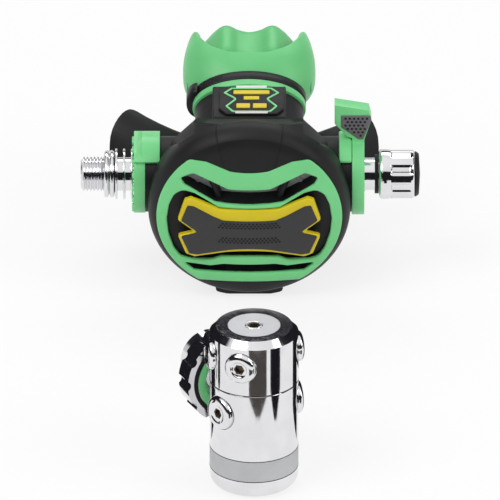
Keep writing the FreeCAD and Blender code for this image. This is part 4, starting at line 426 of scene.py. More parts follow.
CHROME = Plating("chrome", Slot.CHROME)
PLUG_CHROME = replace(CHROME, name="plug_chrome", ripple_size=5.0, ripple_depth=0.003)
SATIN_CHROME = Plating("satin_chrome", Slot.SATIN_CHROME, (0.60, 0.605, 0.62), 0.5, 9.0, 0.002)
# Painted shade: dark brownish metal for the hex sockets of the plugs and the turret bolt, standing in for the
# shade deep in the holes.
SOCKET_SHADE = Plating("socket_painted_shade", Slot.SATIN_CHROME, (0.16, 0.13, 0.09), 0.5, 0.8, 0.01)
STEEL_WIRE = Plating("steel_wire", Slot.SPRING_STEEL, (0.52, 0.52, 0.53), 0.22, 0.8, 0.01)
BRONZE = Plating("bronze", Slot.BRONZE_FILTER, (0.50, 0.34, 0.17), 0.55, 0.35, 0.12)


@contextmanager
def edited(mesh: bpy.types.Mesh, source: bpy.types.Mesh | None = None) -> Iterator[bmesh.types.BMesh]:
    """Open a mesh, or the source of a new one, for editing and write it back.

    Args:
        mesh: Mesh to write.
        source: Mesh to read, if it is another.

    Yields:
        The open mesh.
    """
    work = bmesh.new()
    work.from_mesh(source or mesh)
    yield work
    work.to_mesh(mesh)
    work.free()


def stand(name: str, data: bpy.types.ID) -> bpy.types.Object:
    """Put an object in the scene.

    Args:
        name: Name of the object.
        data: Its mesh, lamp or camera.

    Returns:
        The object.
    """
    thing = bpy.data.objects.new(name, data)
    bpy.context.scene.collection.objects.link(thing)
    return thing


def flatten(piece: bpy.types.Object) -> None:
    """Turn the evaluated object into a plain mesh.

    Args:
        piece: Object with modifiers.
    """
    bpy.context.view_layer.update()
    made = bpy.data.meshes.new_from_object(piece.evaluated_get(bpy.context.evaluated_depsgraph_get()))
    piece.modifiers.clear()
    piece.data = made


def soften(mesh: bpy.types.Mesh, angle: float = NODE_SHARP) -> None:
    """Shade a mesh smooth up to an angle.

    Args:
        mesh: Mesh to shade.
        angle: Angle in degrees above which an edge stays sharp.
    """
    with edited(mesh) as work:
        for face in work.faces:
            face.smooth = True
        for edge in work.edges:
            edge.smooth = len(edge.link_faces) == 2 and edge.calc_face_angle(0.0) < math.radians(angle)


def round_edges(piece: bpy.types.Object, width: float, angle: float) -> None:
    """Round a piece's edges.

    Args:
        piece: Piece to round.
        width: Width of the rounding in millimetres.
        angle: Angle in degrees above which an edge is rounded.
    """
    rounding = piece.modifiers.new("edges", "BEVEL")
    rounding.width = width * MILLIMETRE
    rounding.segments = 3
    rounding.limit_method = "ANGLE"
    rounding.angle_limit = math.radians(angle)
    flatten(piece)


def attach(piece: bpy.types.Object, body: Body, slot: Slot, *nodes: str) -> bpy.types.Object:
    """Let a piece ride on a body and stand for nodes.

    Args:
        piece: Piece in its place.
        body: Body that it moves with.
        slot: Record's slot of its finish; not used.
        nodes: Nodes that it stands for.

    Returns:
        The piece.
    """
    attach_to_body(piece, body.value)
    if nodes:
        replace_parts(piece, *nodes)
    LOG.info("%s rides on %s with %d faces", piece.name, body.value, len(piece.data.polygons))
    return piece


def held(share: float) -> float:
    """Share held between 0 and 1."""
    return min(1.0, max(0.0, share))


def smooth(share: float) -> float:
    """Soft step from 0 to 1."""
    share = held(share)
    return share * share * (3.0 - 2.0 * share)


def turns(steps: int) -> list[float]:
    """Angles that divide a whole turn."""
    return [2.0 * math.pi * step / steps for step in range(steps)]


def port_frame(height: float, azimuth: float) -> Matrix:
    """Frame of a port, whose x points outwards at an angle from the front to the right."""
    return Matrix.Translation((0.0, 0.0, height)) @ Matrix.Rotation(math.radians(azimuth - 90.0), 4, "Z")


@dataclass
class Shape:
    """Points and faces of one mesh, in millimetres in a stage's frame."""

    points: list[Vector] = field(default_factory=list)
    faces: list[tuple[int, ...]] = field(default_factory=list)

    def strip(self, rings: Sequence[Sequence[Vector]], closed: bool = False, caps: bool = True) -> Shape:
        """Join rings of equal length by quads.

        Args:
            rings: Rings of points in order.
            closed: Whether the last ring meets the first.
            caps: Whether an open run of rings is closed by a face at each end.

        Returns:
            The shape itself.
        """
        start, steps, count = len(self.points), len(rings[0]), len(rings)
        self.points.extend(Vector(point) for ring in rings for point in ring)
        for first in range(count if closed else count - 1):
            near, far = start + first * steps, start + (first + 1) % count * steps
            for step in range(steps):
                ahead = (step + 1) % steps
                self.faces.append((near + step, near + ahead, far + ahead, far + step))
        if caps and not closed:
            for foot in (start, start + (count - 1) * steps):
                self.faces.append(tuple(range(foot, foot + steps)))
        return self

    def turned(self, profile: Sequence[tuple[float, Any]], axis: Matrix, steps: int = 96,
               closed: bool = False) -> Shape:
        """Turn a profile round an axis.

        Args:
            profile: Pairs of distance along the axis and radius, which may be a function of the angle.
            axis: Frame whose local x is the axis.
            steps: Points round the axis.
            closed: Whether the profile is a closed loop, as for a ring.

        Returns:
            The shape itself.
        """
        rings = []
        for along, radius in profile:
            reach = [(turn, radius(turn) if callable(radius) else radius) for turn in turns(steps)]
            rings.append([axis @ Vector((along, out * math.cos(turn), out * math.sin(turn)))
                          for turn, out in reach])
        return self.strip(rings, closed=closed)

    def object(self, name: str, seat: Seat, material: bpy.types.Material, angle: float) -> bpy.types.Object:
        """Make the object, with its place in its mesh.

        Args:
            name: Name of the piece.
            seat: Stage that the points belong to.
            material: Material of the whole piece.
            angle: Angle in degrees above which an edge stays sharp.

        Returns:
            The object.
        """
        mesh = bpy.data.meshes.new(name)
        mesh.from_pydata([tuple(point) for point in self.points], [], self.faces)
        mesh.materials.append(material)
        with edited(mesh) as work:
            bmesh.ops.remove_doubles(work, verts=work.verts, dist=SHAPE_WELD)
            bmesh.ops.recalc_face_normals(work, faces=work.faces)
        mesh.transform(seat.matrix())
        soften(mesh, angle)
        return stand(name, mesh)


def carve(piece: bpy.types.Object, tool: Shape, operation: str, seat: Seat = SECOND_STAGE,
          angle: float = NODE_SHARP) -> None:
    """Cut a piece with a tool and take the tool away.

    Args:
        piece: Piece to cut.
        tool: Tool's shape.
        operation: Name of the boolean operation.
        seat: Frame of the tool's coordinates.
        angle: Angle in degrees above which an edge stays sharp.
    """
    cutter = tool.object("cutter", seat, piece.data.materials[0], angle)
    modifier = piece.modifiers.new("cut", "BOOLEAN")
    modifier.object = cutter
    modifier.operation = operation
    modifier.solver = "EXACT"
    flatten(piece)
    bpy.data.objects.remove(cutter)
    soften(piece.data, angle)


@dataclass
class Stock:
    """Materials that more than one piece shares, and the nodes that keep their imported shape."""

    frame: dict[str, Any]
    made: dict[str, bpy.types.Material] = field(default_factory=dict)

    def take(self, finish: Finish) -> bpy.types.Material:
        """Make a finish's material once.

        Args:
            finish: Finish that makes it.

        Returns:
            The material.
        """
        if finish.name not in self.made:
            self.made[finish.name] = finish.material()
        return self.made[finish.name]

    def make(self, name: str, shape: Shape, finish: Finish, *nodes: str, body: Body = Body.ROOT,
             seat: Seat = SECOND_STAGE, angle: float = 42.0) -> bpy.types.Object:
        """Make a piece from a shape.

        Args:
            name: Name of the piece.
            shape: Its shape.
            finish: Its finish.
            nodes: Nodes that it stands for.
            body: Body that it rides on.
            seat: Stage that the shape's points belong to.
            angle: Angle in degrees above which an edge stays sharp.

        Returns:
            The piece.
        """
        return attach(shape.object(name, seat, self.take(finish), angle), body, finish.slot, *nodes)

    def rounded(self, node: str, finish: Finish, edge: float = 0.0,
                body: Body = Body.ROOT) -> bpy.types.Object:
        """Stand a copy with softened edges in for a node.

        Args:
            node: Node to stand for.
            finish: Finish of the copy.
            edge: Width of the softened edges in millimetres.
            body: Body that it rides on.

        Returns:
            The copy.
        """
        mesh = bpy.data.meshes.new(f"{node}_soft")
        with edited(mesh, self.frame["nodes"][node].data) as work:
            bmesh.ops.remove_doubles(work, verts=work.verts, dist=NODE_WELD)
            bmesh.ops.dissolve_limit(work, angle_limit=math.radians(0.6), verts=work.verts, edges=work.edges)
        mesh.materials.append(self.take(finish))
        piece = stand(f"{node}_soft", mesh)
        if edge:
            round_edges(piece, edge, NODE_SHARP)
        soften(piece.data)
        return attach(piece, body, finish.slot, node)


@dataclass
class Studs:
    """Small studs set on points, made by a Geometry Nodes tree."""

    radius: float
    height: float
    sides: int = 10
    taper: float = 0.6

    def tree(self) -> bpy.types.NodeTree:
        """Make the tree with its named inputs."""
        group = bpy.data.node_groups.new("studs", "GeometryNodeTree")
        for name, kind in (("Geometry", "Geometry"), ("Radius", "Float"), ("Height", "Float"),
                           ("Taper", "Float"), ("Sides", "Int"), ("Material", "Material")):
            group.interface.new_socket(name, in_out="INPUT", socket_type=f"NodeSocket{kind}")
        group.interface.new_socket("Geometry", in_out="OUTPUT", socket_type="NodeSocketGeometry")
        tree = Tree(group)
        inputs = tree.node("NodeGroupInput").outputs
        stud = tree.node("GeometryNodeMeshCone", {"fill_type": "NGON"}, {
            "Vertices": inputs["Sides"], "Radius Bottom": inputs["Radius"], "Depth": inputs["Height"],
            "Radius Top": Value(tree, inputs["Radius"]) * Value(tree, inputs["Taper"])})
        aim = tree.node("GeometryNodeInputNamedAttribute", {"data_type": "FLOAT_VECTOR"}, {"Name": "aim"})
        turn = tree.node("FunctionNodeAlignRotationToVector", {"axis": "Z"}, {"Vector": aim.outputs[0]})
        spread = tree.node("GeometryNodeInstanceOnPoints", None, {
            "Points": inputs["Geometry"], "Instance": stud.outputs[0], "Rotation": turn.outputs[0]})
        real = tree.node("GeometryNodeRealizeInstances", None, {0: spread.outputs[0]})
        paint = tree.node("GeometryNodeSetMaterial", None, {
            "Geometry": real.outputs[0], "Material": inputs["Material"]})
        tree.node("NodeGroupOutput", None, {0: paint.outputs[0]})
        return group

    def make(self, name: str, stock: Stock, spots: Spots, finish: Finish, body: Body = Body.ROOT) -> None:
        """Make the studs as one plain mesh on the second stage.

        Args:
            name: Name of the piece.
            stock: Shared materials and nodes.
            spots: Pairs of a place and the way that the stud points.
            finish: Finish of the studs.
            body: Body that they ride on.
        """
        mesh = bpy.data.meshes.new(name)
        mesh.from_pydata([tuple(place) for place, _ in spots], [], [])
        mesh.transform(SECOND_STAGE.matrix())
        aims = mesh.attributes.new("aim", "FLOAT_VECTOR", "POINT")
        turned = SECOND_STAGE.matrix().to_3x3().normalized()
        for item, (_, aim) in zip(aims.data, spots):
            item.vector = turned @ aim
        piece = stand(name, mesh)
        modifier = piece.modifiers.new("studs", "NODES")
        modifier.node_group = self.tree()
        settings = {"Radius": self.radius * MILLIMETRE, "Height": self.height * MILLIMETRE,
                    "Taper": self.taper, "Sides": self.sides, "Material": stock.take(finish)}
        for item in modifier.node_group.interface.items_tree:
            if item.in_out == "INPUT" and item.name in settings:
                modifier[item.identifier] = settings[item.name]
        flatten(piece)
        soften(piece.data)
        attach(piece, body, finish.slot)


def oval_point(turn: float, half_width: float, half_height: float, power: float = 2.0) -> Pair:
    """Point of a rounded oval.

    Args:
        turn: Angle in radians.
        half_width: Half width.
        half_height: Half height.
        power: Squareness, 2 for an ellipse.

    Returns:
        Its x and z from the middle.
    """
    across, up = math.cos(turn), math.sin(turn)
    share = 2.0 / power
    return (math.copysign(abs(across) ** share, across) * half_width,
            math.copysign(abs(up) ** share, up) * half_height)


def eased(stops: Curve, at: float) -> float:
    """Read a smooth curve through stops.

    Args:
        stops: Pairs of place and value, in order.
        at: Place to read.

    Returns:
        The value there.
    """
    at = min(stops[-1][0], max(stops[0][0], at))
    index = next(i for i in range(len(stops) - 1) if stops[i][0] <= at <= stops[i + 1][0])
    (x0, y0), (x1, y1) = stops[index], stops[index + 1]
    before, after = stops[max(index - 1, 0)], stops[min(index + 2, len(stops) - 1)]
    slope0 = (y1 - before[1]) / (x1 - before[0])
    slope1 = (after[1] - y0) / (after[0] - x0)
    width = x1 - x0
    t = (at - x0) / width
    return ((2 * t ** 3 - 3 * t ** 2 + 1) * y0 + (t ** 3 - 2 * t ** 2 + t) * width * slope0
            + (-2 * t ** 3 + 3 * t ** 2) * y1 + (t ** 3 - t ** 2) * width * slope1)


def grown(loop: Sequence[Pair], distance: float) -> list[Pair]:
    """Move a clockwise loop outwards.

    Args:
        loop: Points of the loop.
        distance: How far, inwards if negative.

    Returns:
        The moved points.
    """
    moved = []
    for index, (x, z) in enumerate(loop):
        before, after = loop[index - 1], loop[(index + 1) % len(loop)]
        first = Vector((-(z - before[1]), x - before[0])).normalized()
        second = Vector((-(after[1] - z), after[0] - x)).normalized()
        middle = (first + second).normalized()
        reach = distance / max(0.4, middle.dot(first))
        moved.append((x + middle.x * reach, z + middle.y * reach))
    return moved


def inside(loops: Iterable[Sequence[Pair]], x: float, z: float) -> bool:
    """Whether a point lies in the first loop and in none of the others.

    Args:
        loops: Loops of a region and its holes.
        x: First coordinate.
        z: Second coordinate.

    Returns:
        True for a point of the region.
    """
    odd = False
    for loop in loops:
        for index, (x1, z1) in enumerate(loop):
            x0, z0 = loop[index - 1]
            if (z0 > z) != (z1 > z) and x < x0 + (z - z0) * (x1 - x0) / (z1 - z0):
                odd = not odd
    return odd


@dataclass(frozen=True)
class Outline:
    """Outline that is alike on both sides, arched across its top and bottom."""

    top: float
    corners: Curve
    bottom: float
    radius: float = 1.0

    @staticmethod
    def arch(half: float, end: float, middle: float, steps: int = 14) -> list[Pair]:
        """Arc from left to right through three points.

        Args:
            half: Half width of the arc.
            end: Height of its ends.
            middle: Height of its middle.
            steps: Parts of the arc.

        Returns:
            Points of the arc.
        """
        rise = middle - end
        if abs(rise) < 0.02:
            return [(-half, end), (half, end)]
        radius = (half * half + rise * rise) / (2.0 * rise)
        sweep = math.asin(half / abs(radius))
        angles = [sweep * (2.0 * step / steps - 1.0) for step in range(steps + 1)]
        return [(abs(radius) * math.sin(angle), middle - radius + radius * math.cos(angle))
                for angle in angles]

    def loop(self) -> list[Pair]:
        """Clockwise points of the outline, with its corners rounded."""
        first, *right, last = self.corners
        foot = [(-x, z) for x, z in self.arch(*last, self.bottom)]
        rough = self.arch(*first, self.top) + right + foot + [(-x, z) for x, z in reversed(right)]
        points: list[Pair] = []
        for index, spot in enumerate(rough):
            here = Vector(spot)
            back, ahead = Vector(rough[index - 1]) - here, Vector(rough[(index + 1) % len(rough)]) - here
            turn = math.pi - back.angle(ahead)
            if turn < math.radians(12.0):
                points.append(spot)
                continue
            reach = min(self.radius * math.tan(0.5 * turn), 0.42 * back.length, 0.42 * ahead.length)
            start, end = here + back.normalized() * reach, here + ahead.normalized() * reach
            for share in (step / 5 for step in range(6)):
                mixed = start * (1 - share) ** 2 + here * (2 * share * (1 - share)) + end * share ** 2
                points.append((mixed.x, mixed.y))
        return points


def face_place(x: float, z: float, y: float) -> Vector:
    """Point of the cover in the second stage's frame, measured from the middle of its disc."""
    return Vector((x, y, z - DISC_DROP))


@dataclass
class Panel:
    """Plate over a flat or domed front, with holes and rounded front edges."""

    outer: list[Pair]
    front: float | Callable[[float, float], float]
    thickness: float
    edge: float = 0.5
    spacing: float = 3.0
    holes: Sequence[list[Pair]] = ()
    flat_back: float | None = None

    def ahead(self, x: float, z: float) -> float:
        """Depth of the front."""
        return self.front(x, z) if callable(self.front) else self.front

    def back(self, x: float, z: float) -> float:
        """Depth of the back."""
        return self.ahead(x, z) + self.thickness if self.flat_back is None else self.flat_back

    def fill(self, loops: list[list[Pair]]) -> tuple[list[Pair], list[tuple[int, ...]]]:
        """Cover a region with triangles.

        Args:
            loops: Outer loop and holes.

        Returns:
            Points and triangles.
        """
        spots, edges = [], []
        for loop in loops:
            start = len(spots)
            edges += [(start + step, start + (step + 1) % len(loop)) for step in range(len(loop))]
            spots += [Vector(spot) for spot in loop]
        margin = [grown(loop, (0.35 if index else -0.35) * self.spacing) for index, loop in enumerate(loops)]
        (low_x, high_x), (low_z, high_z) = ((min(side), max(side)) for side in zip(*loops[0]))
        for row in range(int((high_z - low_z) / self.spacing) + 1):
            for column in range(int((high_x - low_x) / self.spacing) + 1):
                x = low_x + (column + 0.5 * (row % 2)) * self.spacing
                z = low_z + row * self.spacing
                if inside(margin, x, z) and inside(loops, x, z):
                    spots.append(Vector((x, z)))
        found = delaunay_2d_cdt(spots, edges, [], 0, 0.00001)
        points = [(spot.x, spot.y) for spot in found[0]]
        middles = [[sum(points[index][axis] for index in face) / 3 for axis in (0, 1)] for face in found[2]]
        return points, [tuple(face) for face, middle in zip(found[2], middles) if inside(loops, *middle)]

    def add(self, shape: Shape | None = None,
            place: Callable[[float, float, float], Vector] = face_place) -> Shape:
        """Add the plate to a shape.

        Args:
            shape: Shape to extend, or none for a new one.
            place: Function from two coordinates and a depth to a point.

        Returns:
            The shape.
        """
        shape = shape or Shape()
        loops = []
        for sign, loop in [(-1.0, self.outer)] + [(1.0, hole) for hole in self.holes]:
            rings = []
            for share in (math.radians(turn) for turn in ((0.0, 30.0, 60.0, 90.0) if self.edge else (90.0,))):
                moved = grown(loop, sign * self.edge * (1.0 - math.sin(share)))
                drop = self.edge * (1.0 - math.cos(share))
                rings.append([place(x, z, self.ahead(x, z) + drop) for x, z in moved])
            inner = grown(loop, sign * self.edge)
            for back in (loop, inner) if self.edge else (loop,):
                rings.append([place(x, z, self.back(x, z)) for x, z in back])
            shape.strip(rings, caps=False)
            loops.append(inner)
        points, triangles = self.fill(loops)
        for depth, order in ((self.ahead, 1), (self.back, -1)):
            start = len(shape.points)
            shape.points.extend(place(x, z, depth(x, z)) for x, z in points)
            shape.faces.extend(tuple(start + index for index in face[::order]) for face in triangles)
        return shape


@dataclass
class Assembly:
    """Sub-assembly that builds its pieces from the stock."""

    stock: Stock

    def build(self) -> None:
        """Make the pieces."""
        raise NotImplementedError


@dataclass
class Mouthpiece(Assembly):
    """Silicone mouthpiece: collar, clipped waist, arched lip shield, bite tabs and palate bridge."""

    rise: float = 4.0
    wall: float = 2.3
    steps: int = 112
    squareness: float = 2.9
    throat: Pair = (16.5, 7.5)
    spigot: Pair = (19.0, 10.0)
    spigot_end: float = 51.0
    shield_start: float = 48.9
    collar: tuple[Point, ...] = (
        (38.8, 22.8, 12.6), (39.0, 23.2, 13.0), (39.5, 23.3, 13.1), (42.3, 23.3, 13.1), (42.9, 23.1, 12.9),
        (43.1, 22.4, 12.2), (43.2, 22.0, 11.8), (45.5, 22.0, 11.8), (48.5, 22.0, 11.8))
    width: Curve = (
        (48.9, 22.2), (50.5, 23.6), (53.0, 25.2), (57.0, 26.6), (62.0, 27.3), (68.0, 27.2), (74.0, 26.4),
        (80.0, 25.3))
    height: Curve = (
        (48.9, 12.0), (50.5, 12.9), (53.0, 14.0), (57.0, 15.4), (62.0, 16.4), (68.0, 17.0), (74.0, 17.2),
        (80.0, 17.0))
    rim: Curve = (
        (-90.0, 61.0), (-72.0, 62.5), (-52.0, 68.5), (-32.0, 77.0), (-15.0, 76.0), (0.0, 73.5), (15.0, 76.5),
        (31.5, 79.4), (42.0, 74.0), (50.0, 69.6), (64.0, 63.2), (80.0, 58.9), (90.0, 58.3))
    bridge: Curve = (
        (-19.0, 5.2), (-16.6, 8.8), (-13.4, 12.9), (-9.6, 15.6), (-5.0, 13.4), (0.0, 12.2), (5.0, 13.4),
        (9.6, 15.6), (13.4, 12.9), (16.6, 8.8), (19.0, 5.2))
    bridge_half: float = 19.0
    bridge_stations: int = 61
    bridge_section: Curve = (
        (62.5, 0.55), (63.0, 0.95), (66.0, 1.1), (72.0, 1.15), (78.0, 1.2), (80.8, 1.15), (81.5, 0.6))
    tab: Curve = (
        (54.0, 1.5), (56.0, 1.6), (66.0, 1.6), (76.0, 1.6), (78.6, 1.9), (79.6, 3.6), (80.6, 4.0),
        (81.3, 3.6), (81.5, 2.2))
    tab_middle: float = 14.25
    tab_half: float = 4.75
    stay: tuple[Point, ...] = ((16.0, 1.5, 3.8), (20.0, 1.5, 4.0), (23.0, 2.2, 5.2), (25.6, 3.4, 7.0))

    def rim_depth(self, turn: float) -> float:
        """Depth of the shield's rim at an angle round the mouthpiece."""
        return eased(self.rim, math.degrees(math.atan2(math.sin(turn), abs(math.cos(turn)))))

    def reach(self, start: float, share: float) -> Callable[[float], float]:
        """Depth at an angle, a share of the way from a start to the rim."""
        return lambda turn: start + share * (self.rim_depth(turn) - start)

    def size(self, y: float, inset: float = 0.0) -> Pair:
        """Half width and half height of the shield at a depth, less part of its wall."""
        return eased(self.width, y) - inset, eased(self.height, y) - inset

    def ring(self, depth: Any, size: Any, power: float = 2.0) -> list[Vector]:
        """One ring round the mouthpiece.

        Args:
            depth: Depth y, or a function that gives it for an angle.
            size: Half width and half height, or a function that gives them for a depth.
            power: Squareness of the ring.

        Returns:
            Its points.
        """
        points = []
        for turn in turns(self.steps):
            y = depth(turn) if callable(depth) else depth
            x, z = oval_point(turn, *(size(y) if callable(size) else size), power)
            points.append(Vector((x, y, z + self.rise)))
        return points

    def shell(self) -> Shape:
        """Collar, waist and arched shield as one closed tube wall."""
        square = self.squareness - 2.0
        rings = [self.ring(y, (across, up)) for y, across, up in self.collar]
        for share in (0.0, 0.07, 0.15, 0.25, 0.37, 0.5, 0.63, 0.75, 0.85, 0.93, 0.975):
            power = 2.0 + square * min(1.0, share * 1.6)
            rings.append(self.ring(self.reach(self.shield_start, share), self.size, power))
        for inset, back in ((0.35, 0.0), (0.5 * self.wall, -0.45), (self.wall - 0.35, 0.0)):
            rings.append(self.ring(lambda turn: self.rim_depth(turn) - 0.15 - back,
                                   lambda y: self.size(y, inset), self.squareness))
        for share in (0.94, 0.85, 0.72, 0.58, 0.44, 0.3, 0.16, 0.0):
            close = (1.0 - share) ** 2.2
            rings.append(self.ring(self.reach(self.spigot_end, share), lambda y: [
                wide + (narrow - wide) * close for wide, narrow in zip(self.size(y, self.wall), self.throat)],
                2.0 + square * share))
        for y in (50.9, 44.0, 38.9):
            rings.append(self.ring(y, (self.spigot[0] + 0.05, self.spigot[1] + 0.05)))
        return Shape().strip(rings, closed=True)

    def palate(self) -> Shape:
        """Bite tabs with raised ends, joined by a bridge that follows the palate."""
        back = self.bridge_section[-1][0]
        rings = []
        for index in range(self.bridge_stations):
            x = -self.bridge_half + 2.0 * self.bridge_half * index / (self.bridge_stations - 1)
            lean = math.atan2(eased(self.bridge, x + 0.3) - eased(self.bridge, x - 0.3), 0.6)
            arch = 1.0 - (x / self.bridge_half) ** 2
            ring = []
            for side, section in ((1.0, self.bridge_section), (-1.0, self.bridge_section[::-1])):
                for y, half in section:
                    share = (back - y) / self.bridge_half
                    ring.append(Vector((x - side * half * math.sin(lean), y + arch * 3.0 * max(0.0, share),
                                        eased(self.bridge, x) - arch * 0.9 * share
                                        + side * half * math.cos(lean))))
            rings.append(ring)
        shape = Shape().strip(rings)
        for sign in (-1.0, 1.0):
            tab = []
            for y, half in self.tab:
                oval = [oval_point(turn, self.tab_half, half, 4.0) for turn in turns(24)]
                tab.append([Vector((sign * self.tab_middle + x, y, self.rise + z)) for x, z in oval])
            shape.strip(tab)
        return shape

    def stays(self) -> Shape:
        """Webs that join the bite tabs to the shield."""
        shape = Shape()
        for sign in (-1.0, 1.0):
            rings = []
            for x, half, deep in self.stay:
                oval = [oval_point(turn, deep, half, 3.0) for turn in turns(20)]
                rings.append([Vector((sign * x, 60.0 + y, self.rise + z)) for y, z in oval])
            shape.strip(rings)
        return shape

    def build(self) -> None:
        """Make the shield, the bite and the stays."""
        self.stock.make("mouthpiece_shield", self.shell(), GREEN_SILICONE, "mouthpiece", angle=50.0)
        self.stock.make("mouthpiece_bite", self.palate(), GREEN_SILICONE, angle=60.0)
        self.stock.make("mouthpiece_stays", self.stays(), GREEN_SILICONE, angle=60.0)


@dataclass
class Cover(Assembly):
    """Bezel, insert, button and trim on the face of the second stage."""

    dome_front: float = -28.5
    dome_radius: float = 38.5
    dome_sag: float = 2.9
    shoulder: float = 35.0
    rim_radius: float = 41.4
    rim_front: float = -18.5
    rim_back: float = -14.0
    rear_radius: float = 39.2
    rear: float = -6.0
    bore: float = 37.3
    wall: float = 2.4
    recess_floor: float = -23.9
    insert_radius: float = 38.0
    insert_proud: float = 0.35
    insert_thickness: float = 1.7
    chin_radius: float = 43.5
    chin_half: float = 14.5
    chin_front: float = -22.0
    chin_back: float = -12.0
    valley: Curve = ((8.0, 24.2), (17.5, 28.5))
    valley_middle: float = 23.4
    insert_top: float = 29.2
    insert_bottom: float = -31.9
    slot: Outline = Outline(15.0, ((8.5, 15.4), (22.8, 22.6), (28.2, 20.0), (26.4, 16.8), (14.0, 9.0)), 7.6,
                            1.4)
    recess: Outline = Outline(6.0, (
        (12.5, 6.6), (21.8, 12.9), (27.0, 14.3), (30.6, 12.0), (32.8, 6.5), (33.7, -0.5), (33.0, -8.0),
        (30.9, -15.0), (28.4, -19.4), (24.4, -20.8), (15.4, -20.6), (12.2, -18.8)), -18.6, 6.0)
    vent: Outline = Outline(-23.1, ((10.5, -22.8), (15.8, -23.9), (27.2, -22.6), (22.5, -26.8)), -27.6, 0.8)
    trim: Outline = Outline(5.6, (
        (12.0, 6.1), (18.4, 9.3), (23.8, 11.9), (26.4, 10.9), (29.2, 0.9), (22.4, -5.0), (29.2, -7.0),
        (26.0, -16.0), (22.5, -17.6), (9.6, -15.4)), -15.0, 1.1)
    plate: Outline = Outline(0.4, (
        (10.8, 1.0), (15.0, 3.2), (22.6, 8.1), (25.2, 8.6), (27.9, 0.9), (21.0, -5.0), (27.9, -7.0),
        (24.6, -15.6), (21.3, -16.2), (8.4, -13.9)), -13.5, 0.9)
    struts: tuple[tuple[Pair, Pair, Pair], ...] = (
        ((12.4, 8.4), (16.6, 21.4), (-24.6, -17.0)), ((12.6, -26.2), (16.8, -20.0), (-23.0, -18.0)))
    strut_half: float = 1.15
    trim_front: float = -29.4
    trim_back: float = -27.2
    plate_front: float = -29.95

    def dome(self, x: float, z: float) -> float:
        """Depth of the domed front.

        Args:
            x: To the right.
            z: Up from the middle of the disc.

        Returns:
            Its y, which falls away fast outside the shoulder.
        """
        radius = math.hypot(x, z)
        y = self.dome_front + self.dome_sag * (min(radius, self.shoulder) / self.dome_radius) ** 2
        share = held((radius - self.shoulder) / (self.rim_radius - self.shoulder))
        return y + (self.rim_front - y) * (1.0 - math.sqrt(1.0 - share * share))

    def crown(self, x: float, z: float) -> float:
        """Depth of the insert's front, a little proud of the dome."""
        share = math.hypot(x, z) / self.dome_radius
        return self.dome_front - self.insert_proud + (self.dome_sag + 0.25) * share ** 2

    def insert_loop(self) -> list[Pair]:
        """Outline of the green insert: a disc with a valley across its top and a flat across its bottom."""
        start, end = (math.atan2(z, math.sqrt(self.insert_radius ** 2 - z ** 2))
                      for z in (self.insert_top, self.insert_bottom))
        steps = 40
        angles = [start + (end - start) * step / steps for step in range(steps + 1)]
        side = [(self.insert_radius * math.cos(angle), self.insert_radius * math.sin(angle))
                for angle in angles]
        corners = (*self.valley, side[0], *side[3:-1], (side[-1][0], self.insert_bottom))
        return Outline(self.valley_middle, corners, self.insert_bottom - 0.6, 4.0).loop()

    def liner(self, shape: Shape, loop: list[Pair], back: float, floor: float | None = None) -> None:
        """Add the wall of an opening behind the insert, closed by a floor where there is one.

        Args:
            shape: Shape to extend.
            loop: Outline of the opening.
            back: Depth of the wall's end.
            floor: Depth of the floor.
        """
        outer = grown(loop, 0.9)
        front, front_outer = ([face_place(x, z, self.crown(x, z) + self.insert_thickness - 0.4)
                               for x, z in line] for line in (loop, outer))
        outer_back = [face_place(x, z, back) for x, z in outer]
        if floor is None:
            shape.strip([front, front_outer, outer_back, [face_place(x, z, back) for x, z in loop]],
                        closed=True)
        else:
            shape.strip([outer_back, front_outer, front, [face_place(x, z, floor) for x, z in loop]])

    def skirt(self, y: float, z: float) -> float:
        """Depth of a point of the rim, drawn forward at the top where the case slopes away."""
        return y + (min(y, self.rim_front + 2.5) - y) * smooth((z / self.dome_radius - 0.45) / 0.4)

    def bezel(self) -> Shape:
        """Domed bezel with its rim, the walls of its openings, two struts in each slot and the chin."""
        circle = [(self.dome_radius * math.sin(turn), self.dome_radius * math.cos(turn))
                  for turn in turns(192)]
        shape = Panel(circle, self.dome, self.wall, 0.0, 2.4, [self.insert_loop()]).add()
        edge = self.dome(self.dome_radius, 0.0)
        rim = [(self.dome_radius, edge)]
        for step in range(1, 13):
            share = math.sin(math.radians(90.0 * step / 12))
            radius = self.shoulder + (self.rim_radius - self.shoulder) * share
            if radius > self.dome_radius + 0.1:
                rim.append((radius, self.dome(radius, 0.0)))
        rim += [(self.rim_radius, self.rim_back), (self.rear_radius + 0.5, self.rear + 0.5),
                (self.rear_radius - 0.4, self.rear), (self.bore, self.rear), (self.bore, self.rim_back),
                (self.dome_radius, self.rim_front + 0.4), (self.dome_radius, edge + self.wall)]
        shape.strip([[face_place(radius * x / self.dome_radius, radius * z / self.dome_radius,
                                 self.skirt(y, z))
                      for x, z in circle] for radius, y in rim], caps=False)
        self.liner(shape, self.slot.loop(), -15.0)
        self.liner(shape, self.vent.loop(), -16.0)
        self.liner(shape, self.recess.loop(), self.recess_floor + 1.5, self.recess_floor)
        for sign in (-1.0, 1.0):
            for foot, head, (near, far) in self.struts:
                self.strut(shape, sign, Vector(foot), Vector(head), near, far)
        self.chin(shape)
        return shape

    def strut(self, shape: Shape, sign: float, foot: Vector, head: Vector, near: float, far: float) -> None:
        """Add a strut with a narrowed front.

        Args:
            shape: Shape to extend.
            sign: Side that it stands on.
            foot: Its lower end.
            head: Its upper end.
            near: Depth of its front.
            far: Depth of its back.
        """
        along = (head - foot).normalized()
        across = Vector((along.y, -along.x)) * self.strut_half
        wide = [foot - across, head - across, head + across, foot + across]
        narrow = [wide[index] * 0.7 + wide[3 - index] * 0.3 for index in range(4)]
        shape.strip([[face_place(sign * spot.x, spot.y, depth) for spot in loop]
                     for loop, depth in ((narrow, near), (wide, near + 0.6), (wide, far))])

